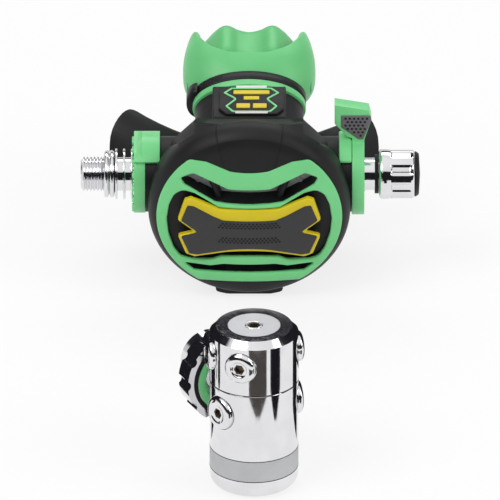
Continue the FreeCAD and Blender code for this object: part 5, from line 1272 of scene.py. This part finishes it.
    def floor_level(self, y: float) -> float:
        """Height from the disc's middle at which a depth meets the floor."""
        lean = math.radians(SECOND_STAGE.tilt)
        return -(SECOND_STAGE.origin[2] + y * math.sin(lean)) / math.cos(lean) + DISC_DROP + 0.02

    def chin(self, shape: Shape) -> None:
        """Add the raised chin under the bezel.

        Args:
            shape: Shape to extend.
        """
        half = math.asin(self.chin_half / self.chin_radius)
        inner, outer = self.rim_radius - 2.0, self.rim_radius + 0.2
        front, back = self.chin_front, self.chin_back
        rings = []
        for share in (2.0 * step / 32 - 1.0 for step in range(33)):
            crest = outer + (self.chin_radius - outer) * min(1.0, (1.0 - abs(share)) * 12.0) ** 0.5
            profile = ((inner, front + 0.4), (outer - 0.1, front + 0.2), (crest - 0.5, front + 0.4),
                       (crest, front + 1.2), (crest, back - 1.0), (crest - 0.5, back), (inner, back))
            rings.append([face_place(radius * math.sin(half * share),
                                     max(-radius * math.cos(half * share), self.floor_level(y)), y)
                          for radius, y in profile])
        shape.strip(rings)

    def dots(self) -> Spots:
        """Places of the grip dots, in two bands above and below the bare middle."""
        spots = []
        for low in (-2.9, -10.2):
            for row in range(3):
                for x in (1.55 * (column + 0.5 * (row % 2)) for column in range(-9, 10)):
                    if abs(x) < 13.6 - 1.1 * row:
                        z = low + 1.05 * row + 0.9 * (x / 14.0) ** 2
                        spots.append((face_place(x, z, self.plate_front - 0.02), Vector((0.0, -1.0, 0.0))))
        return spots

    def build(self) -> None:
        """Make the bezel, the insert, the trim and the button with its stem, which meets the diaphragm."""
        self.stock.make("bezel_dome", self.bezel(), BEZEL_BLACK, "front_bezel", angle=38.0)
        holes = [self.recess.loop(), self.slot.loop(), self.vent.loop()]
        insert = Panel(self.insert_loop(), self.crown, self.insert_thickness, 0.7, 2.4, holes)
        self.stock.make("cover_insert_face", insert.add(), GREEN, "cover_insert")
        trim = Panel(self.trim.loop(), self.trim_front, 2.2, 0.75, flat_back=self.trim_back)
        self.stock.make("purge_trim_edge", trim.add(), YELLOW, "purge_trim", body=Body.PURGE)
        plate = Panel(self.plate.loop(), self.plate_front, 1.4, 0.45, flat_back=self.trim_front + 0.1)
        shape = plate.add().turned([(self.trim_back - 0.5, 2.9), (self.recess_floor + 1.8, 2.9),
                                    (self.recess_floor + 2.0, 2.5)], ALONG_Y, 32)
        self.stock.make("purge_plate", shape, BUTTON, "purge_button", body=Body.PURGE)
        Studs(0.5, 0.12, 8, 0.7).make("purge_dots", self.stock, self.dots(), DOT_BLACK, Body.PURGE)


@dataclass
class Clip(Assembly):
    """Black tie round the mouthpiece's waist, with its buckle at the left."""

    rise: float = 4.0
    start: float = 43.25
    end: float = 48.75
    seat: Pair = (22.0, 11.8)
    thickness: float = 1.4
    rounding: float = 0.5
    buckle_out: float = 3.9
    buckle_half: float = 7.0
    teeth: int = 9

    def band(self) -> Shape:
        """Rounded band round the oval waist."""
        flat = self.thickness - self.rounding
        rings = []
        for y, out in ((self.start, 0.02), (self.start, flat), (self.start + self.rounding, self.thickness),
                       (self.end - self.rounding, self.thickness), (self.end, flat), (self.end, 0.02)):
            oval = [oval_point(turn, self.seat[0] + out, self.seat[1] + out) for turn in turns(128)]
            rings.append([Vector((x, y, self.rise + z)) for x, z in oval])
        return Shape().strip(rings, closed=True)

    def buckle(self) -> Shape:
        """Half-round buckle that stands out at the left."""
        rings = []
        for y, inset in ((self.start - 0.6, 1.0), (self.start - 0.3, 0.35), (self.start + 0.3, 0.0),
                         (self.end - 0.3, 0.0), (self.end + 0.1, 0.35), (self.end + 0.4, 1.0)):
            rings.append([Vector((0.6 - self.seat[0] + (self.buckle_out + 0.6 - inset) * math.cos(turn), y,
                                  self.rise + (self.buckle_half - inset) * math.sin(turn)))
                          for turn in (math.pi * (0.5 + step / 24) for step in range(25))])
        return Shape().strip(rings)

    def ratchet(self) -> Spots:
        """Places of the ratchet teeth beside the buckle."""
        wide, high = self.seat
        spots = []
        for row in range(4):
            for turn in (math.radians(148.0 - 3.6 * step) for step in range(self.teeth)):
                x, z = oval_point(turn, wide + self.thickness, high + self.thickness)
                spots.append((Vector((x, self.start + 1.1 + 1.1 * row, self.rise + z)),
                              Vector((math.cos(turn) / wide, 0.0, math.sin(turn) / high)).normalized()))
        return spots

    def build(self) -> None:
        """Make the band, its buckle and its teeth."""
        self.stock.make("clip_band", self.band(), BLACK_SMOOTH, "mouthpiece_clip", angle=50.0)
        self.stock.make("clip_buckle", self.buckle(), BLACK_SMOOTH, angle=50.0)
        Studs(0.45, 0.3, 4, 0.5).make("clip_teeth", self.stock, self.ratchet(), BLACK_SMOOTH)


@dataclass
class Badge(Assembly):
    """Rounded pad and dark plate on the neck, with a notched green frame and plain bars."""

    face: float = 17.6
    middle: Pair = (0.9, 27.2)
    strip: float = 0.85
    pad: Outline = Outline(38.6, ((15.1, 38.6), (15.101, 27.0), (15.1, 16.6)), 16.6)
    frame: Outline = Outline(8.41, ((8.2, 8.4), (11.6, 4.9), (6.9, 0.6), (10.8, -4.4), (7.9, -8.5)), -8.51,
                             0.7)
    plate: Outline = Outline(9.55, ((10.4, 9.5), (13.2, 6.2), (13.4, -5.6), (10.4, -9.4)), -9.45, 1.4)
    white: tuple[tuple[float, ...], ...] = ((0.0, 9.0, 6.3, 0.85), (0.0, -8.5, 6.7, 0.85))
    yellow: tuple[tuple[float, ...], ...] = (
        (0.0, 5.3, 7.4, 1.25), (0.0, 1.3, 3.2, 1.1), (-3.4, -4.1, 2.8, 1.5), (3.4, -4.1, 2.8, 1.5))

    def place(self, x: float, y: float, depth: float) -> Vector:
        """Point over the plate: depth grows towards it."""
        return Vector((x + self.middle[0], y + self.middle[1], self.face + 0.35 - depth))

    def bars(self, bars: Iterable[Sequence[float]]) -> Shape:
        """Rounded bars on the plate.

        Args:
            bars: Middle x and y, half length and half height of each.

        Returns:
            The bars as one shape.
        """
        shape = Shape()
        for x, y, half, high in bars:
            corners = ((half, high), (half + 0.001, 0.0), (half, -high))
            loop = [(px + x, py + y) for px, py in Outline(high + 0.03, corners, -high - 0.03, 0.35).loop()]
            Panel(loop, 0.0, 0.4, 0.15, 4.0).add(shape, self.place)
        return shape

    def build(self) -> None:
        """Make the pad, plate, frame and bars."""
        pad = [(x - self.middle[0], y - self.middle[1]) for x, y in self.pad.loop()]
        frame = self.frame.loop()
        for name, panel, finish, nodes in (
                ("neck_pad_rounded", Panel(pad, 1.5, 3.0, 0.6, 6.0), BLACK, ()),
                ("badge_plate_rounded", Panel(self.plate.loop(), 0.34, 1.6, 0.4, 4.0), BLACK,
                 ("badge_plate",)),
                ("badge_frame", Panel(frame, 0.0, 0.4, 0.18, 6.0, [grown(frame, -self.strip)]), GREEN, ())):
            self.stock.make(name, panel.add(None, self.place), finish, *nodes)
        self.stock.make("badge_white_bars", self.bars(self.white), WHITE)
        self.stock.make("badge_yellow_bars", self.bars(self.yellow), YELLOW)


@dataclass
class Inlet(Assembly):
    """Chromed inlet connector: thread, two bulged flanges, three fins and spool."""

    start: float = -69.0
    crest: float = 7.14
    core: float = 6.3
    ridges: int = 6
    pitch: float = 1.42
    flanges: Pair = (-59.6, -57.35)
    flange_length: float = 2.25
    flange_radius: float = 9.7
    bulge: Curve = ((0.02, 1.6), (0.06, 0.7), (0.18, 0.22), (0.35, 0.0), (0.65, 0.0), (0.82, 0.22),
                    (0.94, 0.7), (0.98, 1.6))
    fins: Point = (-54.9, -51.7, -48.5)
    fin_thickness: float = 0.95
    fin_radius: float = 10.45
    spool: float = 6.9
    end: float = -42.6
    mouth: float = 5.0
    bore: float = 3.05

    def build(self) -> None:
        """Make the connector."""
        profile: list[Pair] = [(self.start, self.mouth), (self.start, self.core - 0.5),
                               (self.start + 0.5, self.core)]
        near, flat = self.crest - 0.12, self.crest
        for index in range(self.ridges):
            at = self.start + 0.5 + self.pitch * index
            profile += [(at + along, radius) for along, radius in (
                (0.1, self.core), (0.5, near), (0.62, flat), (0.82, flat), (0.94, near), (1.34, self.core))]
        for at in self.flanges:
            profile += [(at + share * self.flange_length, self.flange_radius - drop)
                        for share, drop in self.bulge]
        lip = ((0.0, self.spool), (0.0, self.fin_radius - 0.3), (0.1, self.fin_radius - 0.08),
               (0.25, self.fin_radius))
        for at in self.fins:
            profile += [(at + along, radius) for along, radius in lip]
            profile += [(at + self.fin_thickness - along, radius) for along, radius in reversed(lip)]
        profile += [(self.end, self.spool), (self.end, self.bore), (self.start + 4.0, self.bore),
                    (self.start + 4.0, self.mouth - 0.4)]
        shape = Shape().turned(profile, Matrix.Identity(4), 112, closed=True)
        self.stock.make("inlet_connector_turned", shape, CHROME, "inlet_connector", angle=36.0)


@dataclass
class Knob(Assembly):
    """Fluted adjustment knob."""

    start: float = 53.1
    end: float = 67.8
    radius: float = 10.3
    bore: float = 5.6
    waist: float = 58.0
    flutes: int = 8
    flute_depth: float = 0.75

    def side(self, x: float, drop: float) -> Callable[[float], float]:
        """Radius of the knob's side at an angle.

        Args:
            x: Place along the axis.
            drop: How far the side is lowered there.

        Returns:
            Function that gives the radius.
        """
        along = held((x - self.waist) / 0.5) * held((self.end - 0.9 - x) / 0.9)
        bulge = 0.28 * math.sin(math.pi * held((x - self.start) / (self.waist - self.start)))
        return lambda turn: (self.radius - 0.28 + bulge - self.flute_depth * along * (
            0.5 + 0.5 * math.tanh(5.0 * (math.cos(self.flutes * turn) - 0.1))) + drop)

    def build(self) -> None:
        """Make the knob."""
        stations = [(self.start, -1.1), (self.start + 0.12, -0.6), (self.start + 0.45, -0.18)]
        stations += [(self.start + 0.9 + 0.5 * step, 0.0) for step in range(26)]
        stations += [(self.end - 0.7, -0.1), (self.end - 0.3, -0.35), (self.end - 0.08, -0.75),
                     (self.end, -1.2)]
        profile = [(self.start, self.bore), *((x, self.side(x, drop)) for x, drop in stations),
                   (self.end, self.bore)]
        shape = Shape().turned(profile, Matrix.Identity(4), 192, closed=True)
        self.stock.make("adjust_knob_fluted", shape, CHROME, "adjust_knob", body=Body.KNOB, angle=40.0)


@dataclass
class Lever(Assembly):
    """Venturi lever and its grip: dark pad with offset rows of dots."""

    foot: Point = (42.0, -3.9, 18.4)
    lean: float = 10.0
    pad: Curve = ((-3.9, 9.3), (7.2, 9.3), (7.2, 7.9), (4.3, 0.0), (2.9, 0.0), (-3.9, 5.0))

    def dots(self) -> Spots:
        """Places of the dots on the pad."""
        turned = Matrix.Rotation(math.radians(-self.lean), 4, "X")
        spots = []
        for row in range(6):
            for column in range(-3, 6):
                x, z = 1.75 * (column + 0.5 * (row % 2)), 0.9 + 1.55 * row
                if inside([grown(self.pad, -0.45)], x, z):
                    spots.append((turned @ (Vector(self.foot) + Vector((x, 0.0, z))),
                                  turned @ Vector((0.0, -1.0, 0.0))))
        return spots

    def build(self) -> None:
        """Soften the lever and set the dots."""
        self.stock.rounded("venturi_lever", GREEN, 0.9, Body.VENTURI)
        self.stock.rounded("venturi_grip", GRIP, 0.35, Body.VENTURI)
        Studs(0.55, 0.16, 10, 0.75).make("grip_dots", self.stock, self.dots(), DOT_BLACK, Body.VENTURI)


@dataclass
class Case(Assembly):
    """Case of the second stage, whose top slopes down from the bezel to the neck."""

    radius: float = 37.0
    rear: float = 14.5
    rear_radius: float = 30.0
    brow_start: Pair = (-15.0, 34.6)
    brow_end: Pair = (17.0, 16.25)
    wall: float = 2.0
    reach: float = 45.0

    def prism(self, *corners: Pair) -> Shape:
        """Bar across the whole case, from its outline in y and z."""
        return Shape().strip([[Vector((x, y, z)) for y, z in corners] for x in (-self.reach, self.reach)])

    def build(self) -> None:
        """Make the case and the sloped wall over its top."""
        (y0, z0), (y1, z1) = self.brow_start, self.brow_end
        near, far, top = y0 - 12.0, y1 + 30.0, 60.0
        above = self.prism((near, z0 + 0.02), (y0, z0), (y1, z1), (far, z1 + 0.02), (far, top), (near, top))
        carve(self.stock.rounded("second_stage_case", BLACK), above, "DIFFERENCE")
        can = Shape().turned([(-20.0, self.radius - 0.05), (0.0, self.radius - 0.05),
                              (self.rear, self.rear_radius - 0.05)], ALONG_Y, 160)
        brow = self.stock.make("case_brow", can, BLACK, angle=32.0)
        low, rise = y0 - 1.5, z0 - (z1 - z0) / (y1 - y0) * 1.5
        carve(brow, self.prism((low, rise), (y1, z1), (y1, z1 - self.wall), (low, rise - self.wall)),
              "INTERSECT")
        round_edges(brow, 0.5, 30.0)
        soften(brow.data)


@dataclass
class Plugs(Assembly):
    """Button-headed plugs with raised rims, and painted shade in their hexagon sockets."""

    socket: float = 2.31
    root: float = 3.6
    crown: Curve = ((0.0, 0.4), (0.15, 0.1), (0.4, 0.0), (1.5, 0.0), (2.1, 0.22), (2.6, 0.7), (2.95, 1.35),
                    (3.15, 2.1), (3.2, 2.7), (3.12, 3.0), (2.85, 3.25))
    rows: tuple[tuple[Any, ...], ...] = (
        ("low", 58.5, (-18.0, -78.0, -138.0, 102.0), 16.6, 6.4, Body.TURRET),
        ("high", 36.0, (-50.0, 102.0), 16.3, 7.0, Body.ROOT))

    def hexagon(self, turn: float) -> float:
        """Radius of the hexagon socket at an angle."""
        return self.socket * math.cos(math.pi / 6) / math.cos((turn % (math.pi / 3)) - math.pi / 6)

    def build(self) -> None:
        """Make both sets of plugs and the painted shade at the bottom of their sockets."""
        for kind, height, azimuths, seat, head, body in self.rows:
            plugs, shade_floors = Shape(), Shape()
            for frame in (port_frame(height, azimuth) for azimuth in azimuths):
                plugs.turned([(seat - self.root, 4.4), (seat - 0.05, 4.4),
                              *((seat + along, head - drop) for along, drop in self.crown),
                              (seat + 2.75, self.socket + 0.7), (seat + 2.62, self.hexagon),
                              (seat + 0.6, self.hexagon)], frame)
                # Painted shade: a dark cup at the bottom of each socket, where the hole is shaded.
                shade_floors.turned([(seat + 0.55, 0.5), (seat + 0.55, self.socket - 0.05),
                               (seat + 2.3, self.socket - 0.28),
                               (seat + 2.3, 1.7), (seat + 0.75, 1.5), (seat + 0.75, 0.4)], frame, 24)
            place = {"body": body, "seat": FIRST_STAGE, "angle": 40.0}
            self.stock.make(f"{kind}_plug_buttons", plugs, PLUG_CHROME, f"{kind}_plugs", **place)
            self.stock.make(f"{kind}_plug_socket_shade", shade_floors, SOCKET_SHADE, **place)


@dataclass
class Seams(Assembly):
    """Thin dark shadow gaps between the stacked parts of the first stage."""

    radius: float = 17.8
    half: float = 0.16
    heights: Point = (7.9, 16.9, 46.3)

    def build(self) -> None:
        """Make the seams."""
        shape = Shape()
        for height in self.heights:
            shape.turned([(height + side * self.half, self.radius + out) for side, out in (
                (-1, -0.4), (-1, 0.03), (1, 0.03), (1, -0.4))], UPRIGHT, 128, closed=True)
        self.stock.make("body_seams", shape, RUBBER, seat=FIRST_STAGE, angle=40.0)


@dataclass
class TurretTop(Assembly):
    """Chamfered shoulder of the turret and the socket of its bolt, lined with painted shade."""

    top: float = 69.5
    flat: float = 15.3
    radius: float = 17.8
    drop: float = 2.75
    shade_lining: Curve = ((-2.9, 0.3), (-2.9, 2.35), (-0.25, 2.48), (-0.25, 2.2), (-2.6, 2.0), (-2.6, 0.3))
    rim: Curve = ((-0.05, 2.95), (0.12, 3.05), (0.2, 3.3), (0.12, 3.55), (-0.05, 3.65))

    def build(self) -> None:
        """Chamfer the turret, line the bolt's socket with painted shade and set its rim."""
        low = self.top - self.drop
        blank = Shape().turned([(40.0, self.radius + 0.3), (low, self.radius + 0.3),
                                (low + 0.05, self.radius - 0.02),
                                (self.top, self.flat), (self.top + 0.05, self.flat - 0.05)], UPRIGHT, 192)
        carve(self.stock.rounded("turret", CHROME, 0.0, Body.TURRET), blank, "INTERSECT", FIRST_STAGE, 24.0)
        # The lining of the bolt's socket is painted shade: dark metal where the hole is shaded.
        for name, profile, steps, finish, angle in (("turret_bolt_socket_shade", self.shade_lining, 6, SOCKET_SHADE, 40.0),
                                                    ("turret_bolt_rim", self.rim, 64, CHROME, 60.0)):
            ring = Shape().turned([(self.top + z, radius) for z, radius in profile], UPRIGHT, steps,
                                  closed=True)
            self.stock.make(name, ring, finish, seat=FIRST_STAGE, angle=angle)


@dataclass
class WheelShadeRing(Assembly):
    """Ring of painted shade, in dark rubber, around the handwheel's green insert."""

    inner: float = 14.75
    outer: float = 16.5
    near: float = 20.8
    proud: float = 0.22

    def build(self) -> None:
        """Make the ring of painted shade on the wheel's inner face."""
        points = [vertex.co for vertex in self.stock.frame["nodes"]["handwheel_insert"].data.vertices]
        middle = sum(points, Vector()) / len(points) / MILLIMETRE
        frame = port_frame(middle.z, math.degrees(math.atan2(middle.x, -middle.y)))
        face = self.near - self.proud
        # Painted shade: a dark rubber ring where the chrome round the insert lies in shade.
        ring = Shape().turned([(face, self.inner), (face, self.outer - 0.3), (face + 0.15, self.outer),
                               (self.near + 0.3, self.outer), (self.near + 0.3, self.inner)], frame, 128,
                              closed=True)
        self.stock.make("handwheel_shade_ring", ring, RUBBER, body=Body.HANDWHEEL, seat=FIRST_STAGE, angle=40.0)


@dataclass
class Wings(Assembly):
    """Exhaust tee with stretched and rounded tips."""

    reach: float = 5.0
    lift: float = 5.5
    narrow: float = 4.2
    lean: float = 36.5
    tip: Curve = (
        (-44.0, -14.0), (-52.0, -9.0), (-55.5, -4.0), (-57.1, 2.0), (-57.6, 8.0), (-57.6, 11.6),
        (-57.3, 15.4), (-56.5, 18.5), (-55.3, 21.2), (-54.0, 23.3), (-52.5, 25.1), (-51.0, 26.3),
        (-49.4, 26.9), (-47.8, 26.7), (-46.0, 25.9), (-42.5, 23.8), (-37.0, 21.0), (-32.2, 18.9))

    def place(self, x: float, up: float, deep: float) -> Vector:
        """Point from its place across, up and into the front view."""
        lean = math.radians(self.lean)
        return Vector((x, up * math.sin(lean) + deep * math.cos(lean),
                       up * math.cos(lean) - deep * math.sin(lean)))

    def outline(self) -> list[Pair]:
        """Outline that both tips are trimmed to, in the front view."""
        right = [(-x - self.narrow * held((-x - 34.0) / 12.0), up) for x, up in self.tip]
        return [(-35.0, -90.0), *self.tip, (-30.0, 90.0), (30.0, 90.0), *reversed(right), (35.0, -90.0)]

    def build(self) -> None:
        """Stretch the left tip and trim both."""
        piece = self.stock.rounded("exhaust_tee", BLACK)
        seat = SECOND_STAGE.matrix()
        back, stretch = seat.inverted(), self.place(-self.reach, self.lift, 0.0)
        for vertex in piece.data.vertices:
            local = back @ vertex.co
            vertex.co = seat @ (local + stretch * smooth((-local.x - 30.0) / 20.0))
        trim = [[self.place(x, up, deep) for x, up in self.outline()] for deep in (-150.0, 150.0)]
        carve(piece, Shape().strip(trim), "INTERSECT")
        round_edges(piece, 0.8, 40.0)
        soften(piece.data, 36.0)


@dataclass
class InletCollar(Assembly):
    """Green collar behind the inlet, stepped at its top and toothed at its side."""

    step: float = 3.2
    drop: float = 2.5
    clear: float = 5.0
    teeth: int = 16

    def build(self) -> None:
        """Soften the collar, cut its step and set its teeth."""
        piece = self.stock.rounded("inlet_collar", GREEN, 0.8)
        back = SECOND_STAGE.matrix().inverted()
        points = [back @ vertex.co for vertex in piece.data.vertices]
        left, top = min(point.x for point in points), max(point.z for point in points)
        near, far = min(point.y for point in points), max(point.y for point in points)
        corner = [(left - self.clear, top + self.clear), (left + self.step, top + self.clear),
                  (left + self.step, top - self.drop), (left - self.clear, top - self.drop)]
        ends = (near - self.clear, far + self.clear)
        carve(piece, Shape().strip([[Vector((x, y, z)) for x, z in corner] for y in ends]), "DIFFERENCE")
        radius = max(abs(point.z) for point in points if point.z < 0.0) - 1.6
        spots = [(Vector((left + 0.1, radius * math.cos(turn), radius * math.sin(turn))),
                  Vector((-1.0, 0.0, 0.0)))
                 for turn in (2.0 * math.pi * (index + 0.5) / self.teeth for index in range(self.teeth))]
        Studs(1.25, 0.9, 20, 0.8).make("inlet_collar_teeth", self.stock, spots, GREEN)


@dataclass
class Springs(Assembly):
    """Copies of the springs, with the valve spring split in two halves, and the membrane with softened edges.
    """

    split: float = 30.0

    def copy(self, node: str, suffix: str = "bent", side: float = 0.0) -> bpy.types.Object:
        """Copy a node, or the part of it on one side of the split.

        Args:
            node: Node to copy.
            suffix: End of the copy's name.
            side: 1 keeps the part to the right of the split, -1 the part to its left, 0 the whole.

        Returns:
            The copy, in the scene without a parent.
        """
        source = self.stock.frame["nodes"][node]
        mesh = source.data.copy()
        mesh.transform(source.matrix_world)
        if side:
            with edited(mesh) as work:
                bmesh.ops.remove_doubles(work, verts=work.verts, dist=NODE_WELD)
                bmesh.ops.bisect_plane(work, geom=[*work.verts, *work.edges, *work.faces], clear_outer=True,
                                       plane_co=SECOND_STAGE.matrix() @ Vector((self.split, 0.0, 0.0)),
                                       plane_no=Vector((-side, 0.0, 0.0)))
                bmesh.ops.holes_fill(work, edges=[edge for edge in work.edges if edge.is_boundary], sides=0)
        piece = stand(f"{node}_{suffix}", mesh)
        return piece

    def build(self) -> None:
        """Copy the springs, split the valve spring and soften the membrane."""
        second = SECOND_STAGE.matrix()
        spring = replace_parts(self.copy("purge_spring"), "purge_spring")
        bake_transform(spring)
        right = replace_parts(self.copy("valve_spring", "right", 1.0), "valve_spring")
        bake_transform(right)
        left = self.copy("valve_spring", "left", -1.0)
        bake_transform(left)
        main_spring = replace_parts(self.copy("main_spring"), "main_spring")
        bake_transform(main_spring)
        membrane = self.stock.rounded("diaphragm", CLEAR_SILICONE)
        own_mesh(membrane)


@dataclass
class Plain(Assembly):
    """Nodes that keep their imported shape, some with softened edges."""

    finishes: tuple[tuple[Finish, str], ...] = (
        (BLACK, "second_stage_case exhaust_tee badge_plate knob_cap mouthpiece_clip"),
        (GREEN, "inlet_collar lever_collar venturi_lever handwheel_insert"),
        (BLACK_SMOOTH, "venturi_grip"),
        (WHITE, "diaphragm_plate venturi_vane pressure_transmitter high_valve balance_plug"),
        (RUBBER, "poppet_seat inlet_oring knob_oring environment_diaphragm main_diaphragm turret_seal "
                 "low_plug_orings high_plug_orings din_oring"),
        (CLEAR_SILICONE, "exhaust_valve diaphragm"),
        (CHROME, "inlet_orifice inlet_connector knob_sleeve adjust_knob end_cap main_body turret low_plugs "
                 "high_plugs din_stem din_bolt handwheel"),
        (SATIN_CHROME, "valve_barrel valve_spindle spindle_nut adjust_screw demand_lever clamp_ring "
                       "spring_adjuster spring_carrier high_seat valve_lifter turret_bolt"),
        (STEEL_WIRE, "purge_spring valve_spring main_spring high_valve_spring"),
        (BRONZE, "inlet_filter"))

    def build(self) -> None:
        """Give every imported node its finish."""
        for finish, nodes in self.finishes:
            for name in nodes.split():
                mesh = self.stock.frame["nodes"][name].data
                mesh.materials.clear()
                mesh.materials.append(self.stock.take(finish))

    def soften(self) -> None:
        """Stand copies with softened edges in for plain moulded and turned nodes."""
        self.stock.rounded("lever_collar", GREEN, 0.7)
        self.stock.rounded("knob_cap", BLACK, 0.5, Body.KNOB)
        self.stock.rounded("handwheel_insert", GREEN, 0.3, Body.HANDWHEEL)


@dataclass
class Studio:
    """Pale floor, plain soft light and the camera."""

    elevation: float = 26.0
    lens: float = 1200.0
    sensor: float = 36.0
    frame_width: float = 202.5
    aim: Point = (-1.6, 98.0, 55.0)
    lamp_aim: Point = (0.0, 0.12, 0.04)
    floor_half: float = 3.0
    floor_white: float = 0.78
    side_card: Curve = ((0.040, 0.0), (0.080, 0.0), (0.080, 0.035), (0.170, 0.035), (0.170, 0.160),
                        (0.020, 0.160), (0.020, 0.035), (0.040, 0.035))

    def camera(self) -> None:
        """Put the camera at the photographed angle."""
        data = bpy.data.cameras.new("camera")
        data.lens, data.sensor_width = self.lens, self.sensor
        data.clip_start, data.clip_end = 0.1, 40.0
        camera = stand("camera", data)
        distance = self.frame_width * MILLIMETRE * self.lens / self.sensor
        angle = math.radians(self.elevation)
        back = Vector((0.0, -math.cos(angle), math.sin(angle)))
        camera.location = Vector(self.aim) * MILLIMETRE + back * distance
        camera.rotation_euler = (-back).to_track_quat("-Z", "Y").to_euler()
        bpy.context.scene.camera = camera

    def floor(self) -> None:
        """Lay the floor, white to the camera and in reflections."""
        surface = Surface("floor")
        paths = surface.node("ShaderNodeLightPath").outputs
        seen = Value(surface, paths["Is Camera Ray"]).most(Value(surface, paths["Is Glossy Ray"]))
        paper = surface.node("ShaderNodeBsdfDiffuse", None, {"Color": (0.86, 0.86, 0.86, 1.0)})
        white = surface.node("ShaderNodeEmission", None, {"Color": (1.0, 1.0, 1.0, 1.0), "Strength": 1.0})
        material = surface.show(surface.node("ShaderNodeMixShader", None, {
            0: seen * self.floor_white, 1: paper.outputs[0], 2: white.outputs[0]}))
        half = self.floor_half
        outline = ((-half, -half, 0.0), (half, -half, 0.0), (half, half, 0.0), (-half, half, 0.0))
        self.sheet("floor", outline, material)

    def sheet(self, name: str, corners: Sequence[Point], material: bpy.types.Material) -> bpy.types.Object:
        """Stand a flat sheet in the studio.

        Args:
            name: Name of the sheet.
            corners: Corners in metres.
            material: Its material.

        Returns:
            The sheet.
        """
        mesh = bpy.data.meshes.new(name)
        mesh.from_pydata(list(corners), [], [tuple(range(len(corners)))])
        mesh.materials.append(material)
        sheet = stand(name, mesh)
        sheet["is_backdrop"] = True
        return sheet

    def card(self, name: str, corners: Sequence[Point], color: Color) -> None:
        """Stand a card that only reflections show.

        Args:
            name: Name of the card.
            corners: Corners in metres.
            color: Its colour.
        """
        surface = Surface(name)
        paper = surface.node("ShaderNodeEmission", None, {"Color": (*color, 1.0), "Strength": 1.0})
        card = self.sheet(name, corners, surface.show(paper))
        card.visible_camera = False
        card.visible_diffuse = False
        card.visible_shadow = False
        card.visible_transmission = False

    def flag(self, name: str, azimuth: float, sweep: float, distance: float, levels: Point,
             color: Color) -> None:
        """Stand a pointed card beside the first stage.

        Args:
            name: Name of the card.
            azimuth: Way to its middle in degrees, from the front to the right.
            sweep: Angle that it covers.
            distance: Distance from the first stage's axis in metres.
            levels: Heights of its top, of the start of its taper and of its point, in metres.
            color: Its colour.
        """
        top, taper, tip = levels
        outline = ((-0.5, top), (0.5, top), (0.5, taper), (0.12, tip), (-0.12, tip), (-0.5, taper))
        spots = [(math.radians(azimuth + side * sweep), level) for side, level in outline]
        self.card(name, [(distance * math.sin(turn), -distance * math.cos(turn), z) for turn, z in spots],
                  color)

    def lamp(self, name: str, place: Point, size: Pair, power: float) -> None:
        """Hang a soft lamp that faces the object.

        Args:
            name: Name of the lamp.
            place: Place in metres.
            size: Width and height in metres.
            power: Power in watts.
        """
        data = bpy.data.lights.new(name, "AREA")
        data.shape = "RECTANGLE"
        data.size, data.size_y = size
        data.energy = power
        lamp = stand(name, data)
        lamp.location = place
        lamp.rotation_euler = (Vector(self.lamp_aim) - Vector(place)).to_track_quat("-Z", "Y").to_euler()

    def world(self) -> None:
        """Surround the scene with white, softly graded in reflections."""
        world = bpy.data.worlds.new("studio")
        bpy.context.scene.world = world
        world.use_nodes = True
        world.node_tree.nodes.clear()
        tree = Tree(world.node_tree)
        paths = tree.node("ShaderNodeLightPath").outputs
        way = tree.value("ShaderNodeTexCoord", output="Generated")
        split = tree.node("ShaderNodeSeparateXYZ", None, {0: way}).outputs
        height = Value(tree, split[2]) - Value(tree, split[1]) * 0.249
        ramp = tree.node("ShaderNodeValToRGB", {"stops": (
            (0.0, (0.7, 0.7, 0.7)), (0.14, (0.60, 0.60, 0.60)), (0.22, (0.022, 0.022, 0.027)),
            (0.72, (0.018, 0.018, 0.022)), (0.79, (0.80, 0.80, 0.80)), (1.0, (1.0, 1.0, 1.0)))},
            {0: height.spread(-0.2, 1.1)})
        plain, white, mirror = (
            tree.node("ShaderNodeBackground", None, {"Color": color, "Strength": strength}).outputs[0]
            for color, strength in (((1.0,) * 4, 0.55), ((1.0,) * 4, 1.0), (ramp.outputs[0], 1.0)))
        first = tree.node("ShaderNodeMixShader", None, {0: paths["Is Camera Ray"], 1: plain, 2: white})
        second = tree.node("ShaderNodeMixShader", None,
                           {0: paths["Is Glossy Ray"], 1: first.outputs[0], 2: mirror})
        tree.node("ShaderNodeOutputWorld", None, {0: second.outputs[0]})

    def build(self) -> None:
        """Set up the studio."""
        bpy.context.scene.view_settings.view_transform = "Standard"
        self.camera()
        self.floor()
        self.world()
        self.lamp("key", (-0.9, -0.7, 1.5), (0.9, 0.9), 14.0)
        self.lamp("fill", (1.3, -0.5, 0.9), (0.7, 1.0), 7.0)
        self.lamp("back", (0.1, 1.4, 1.3), (1.6, 0.6), 9.0)
        self.flag("front_flag", 9.0, 41.0, 0.080, (0.040, 0.015, 0.006), (0.075, 0.068, 0.063))
        self.flag("right_flag", 49.5, 25.0, 0.062, (0.050, 0.026, 0.012), (0.010, 0.010, 0.014))
        self.flag("left_flag", -90.0, 8.0, 0.060, (0.048, 0.026, 0.022), (0.012, 0.012, 0.014))
        for name, side in (("knob_card", 1.0), ("inlet_card", -1.0)):
            self.card(name, [(side * x, 0.03, z) for x, z in self.side_card], (0.012, 0.012, 0.015))


def corners(box: Iterable[Vector]) -> list[list[float]]:
    """Lowest and highest corner of a box as plain lists."""
    return [[float(part) for part in corner] for corner in box]


def main() -> None:
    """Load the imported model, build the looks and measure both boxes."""
    logging.basicConfig(level=logging.INFO, format="%(message)s")
    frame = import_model()
    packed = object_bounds()
    stock = Stock(frame)
    plain = Plain(stock)
    plain.build()
    for part in (Cover, Mouthpiece, Clip, Badge, Inlet, Knob, Lever, Case, Plugs, Seams, TurretTop,
                 WheelShadeRing, Wings, InletCollar, Springs):
        part(stock).build()
    plain.soften()
    Studio().build()
    {"cad": corners(packed), "visual": corners(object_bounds())}


if __name__ == "__main__":
    main()
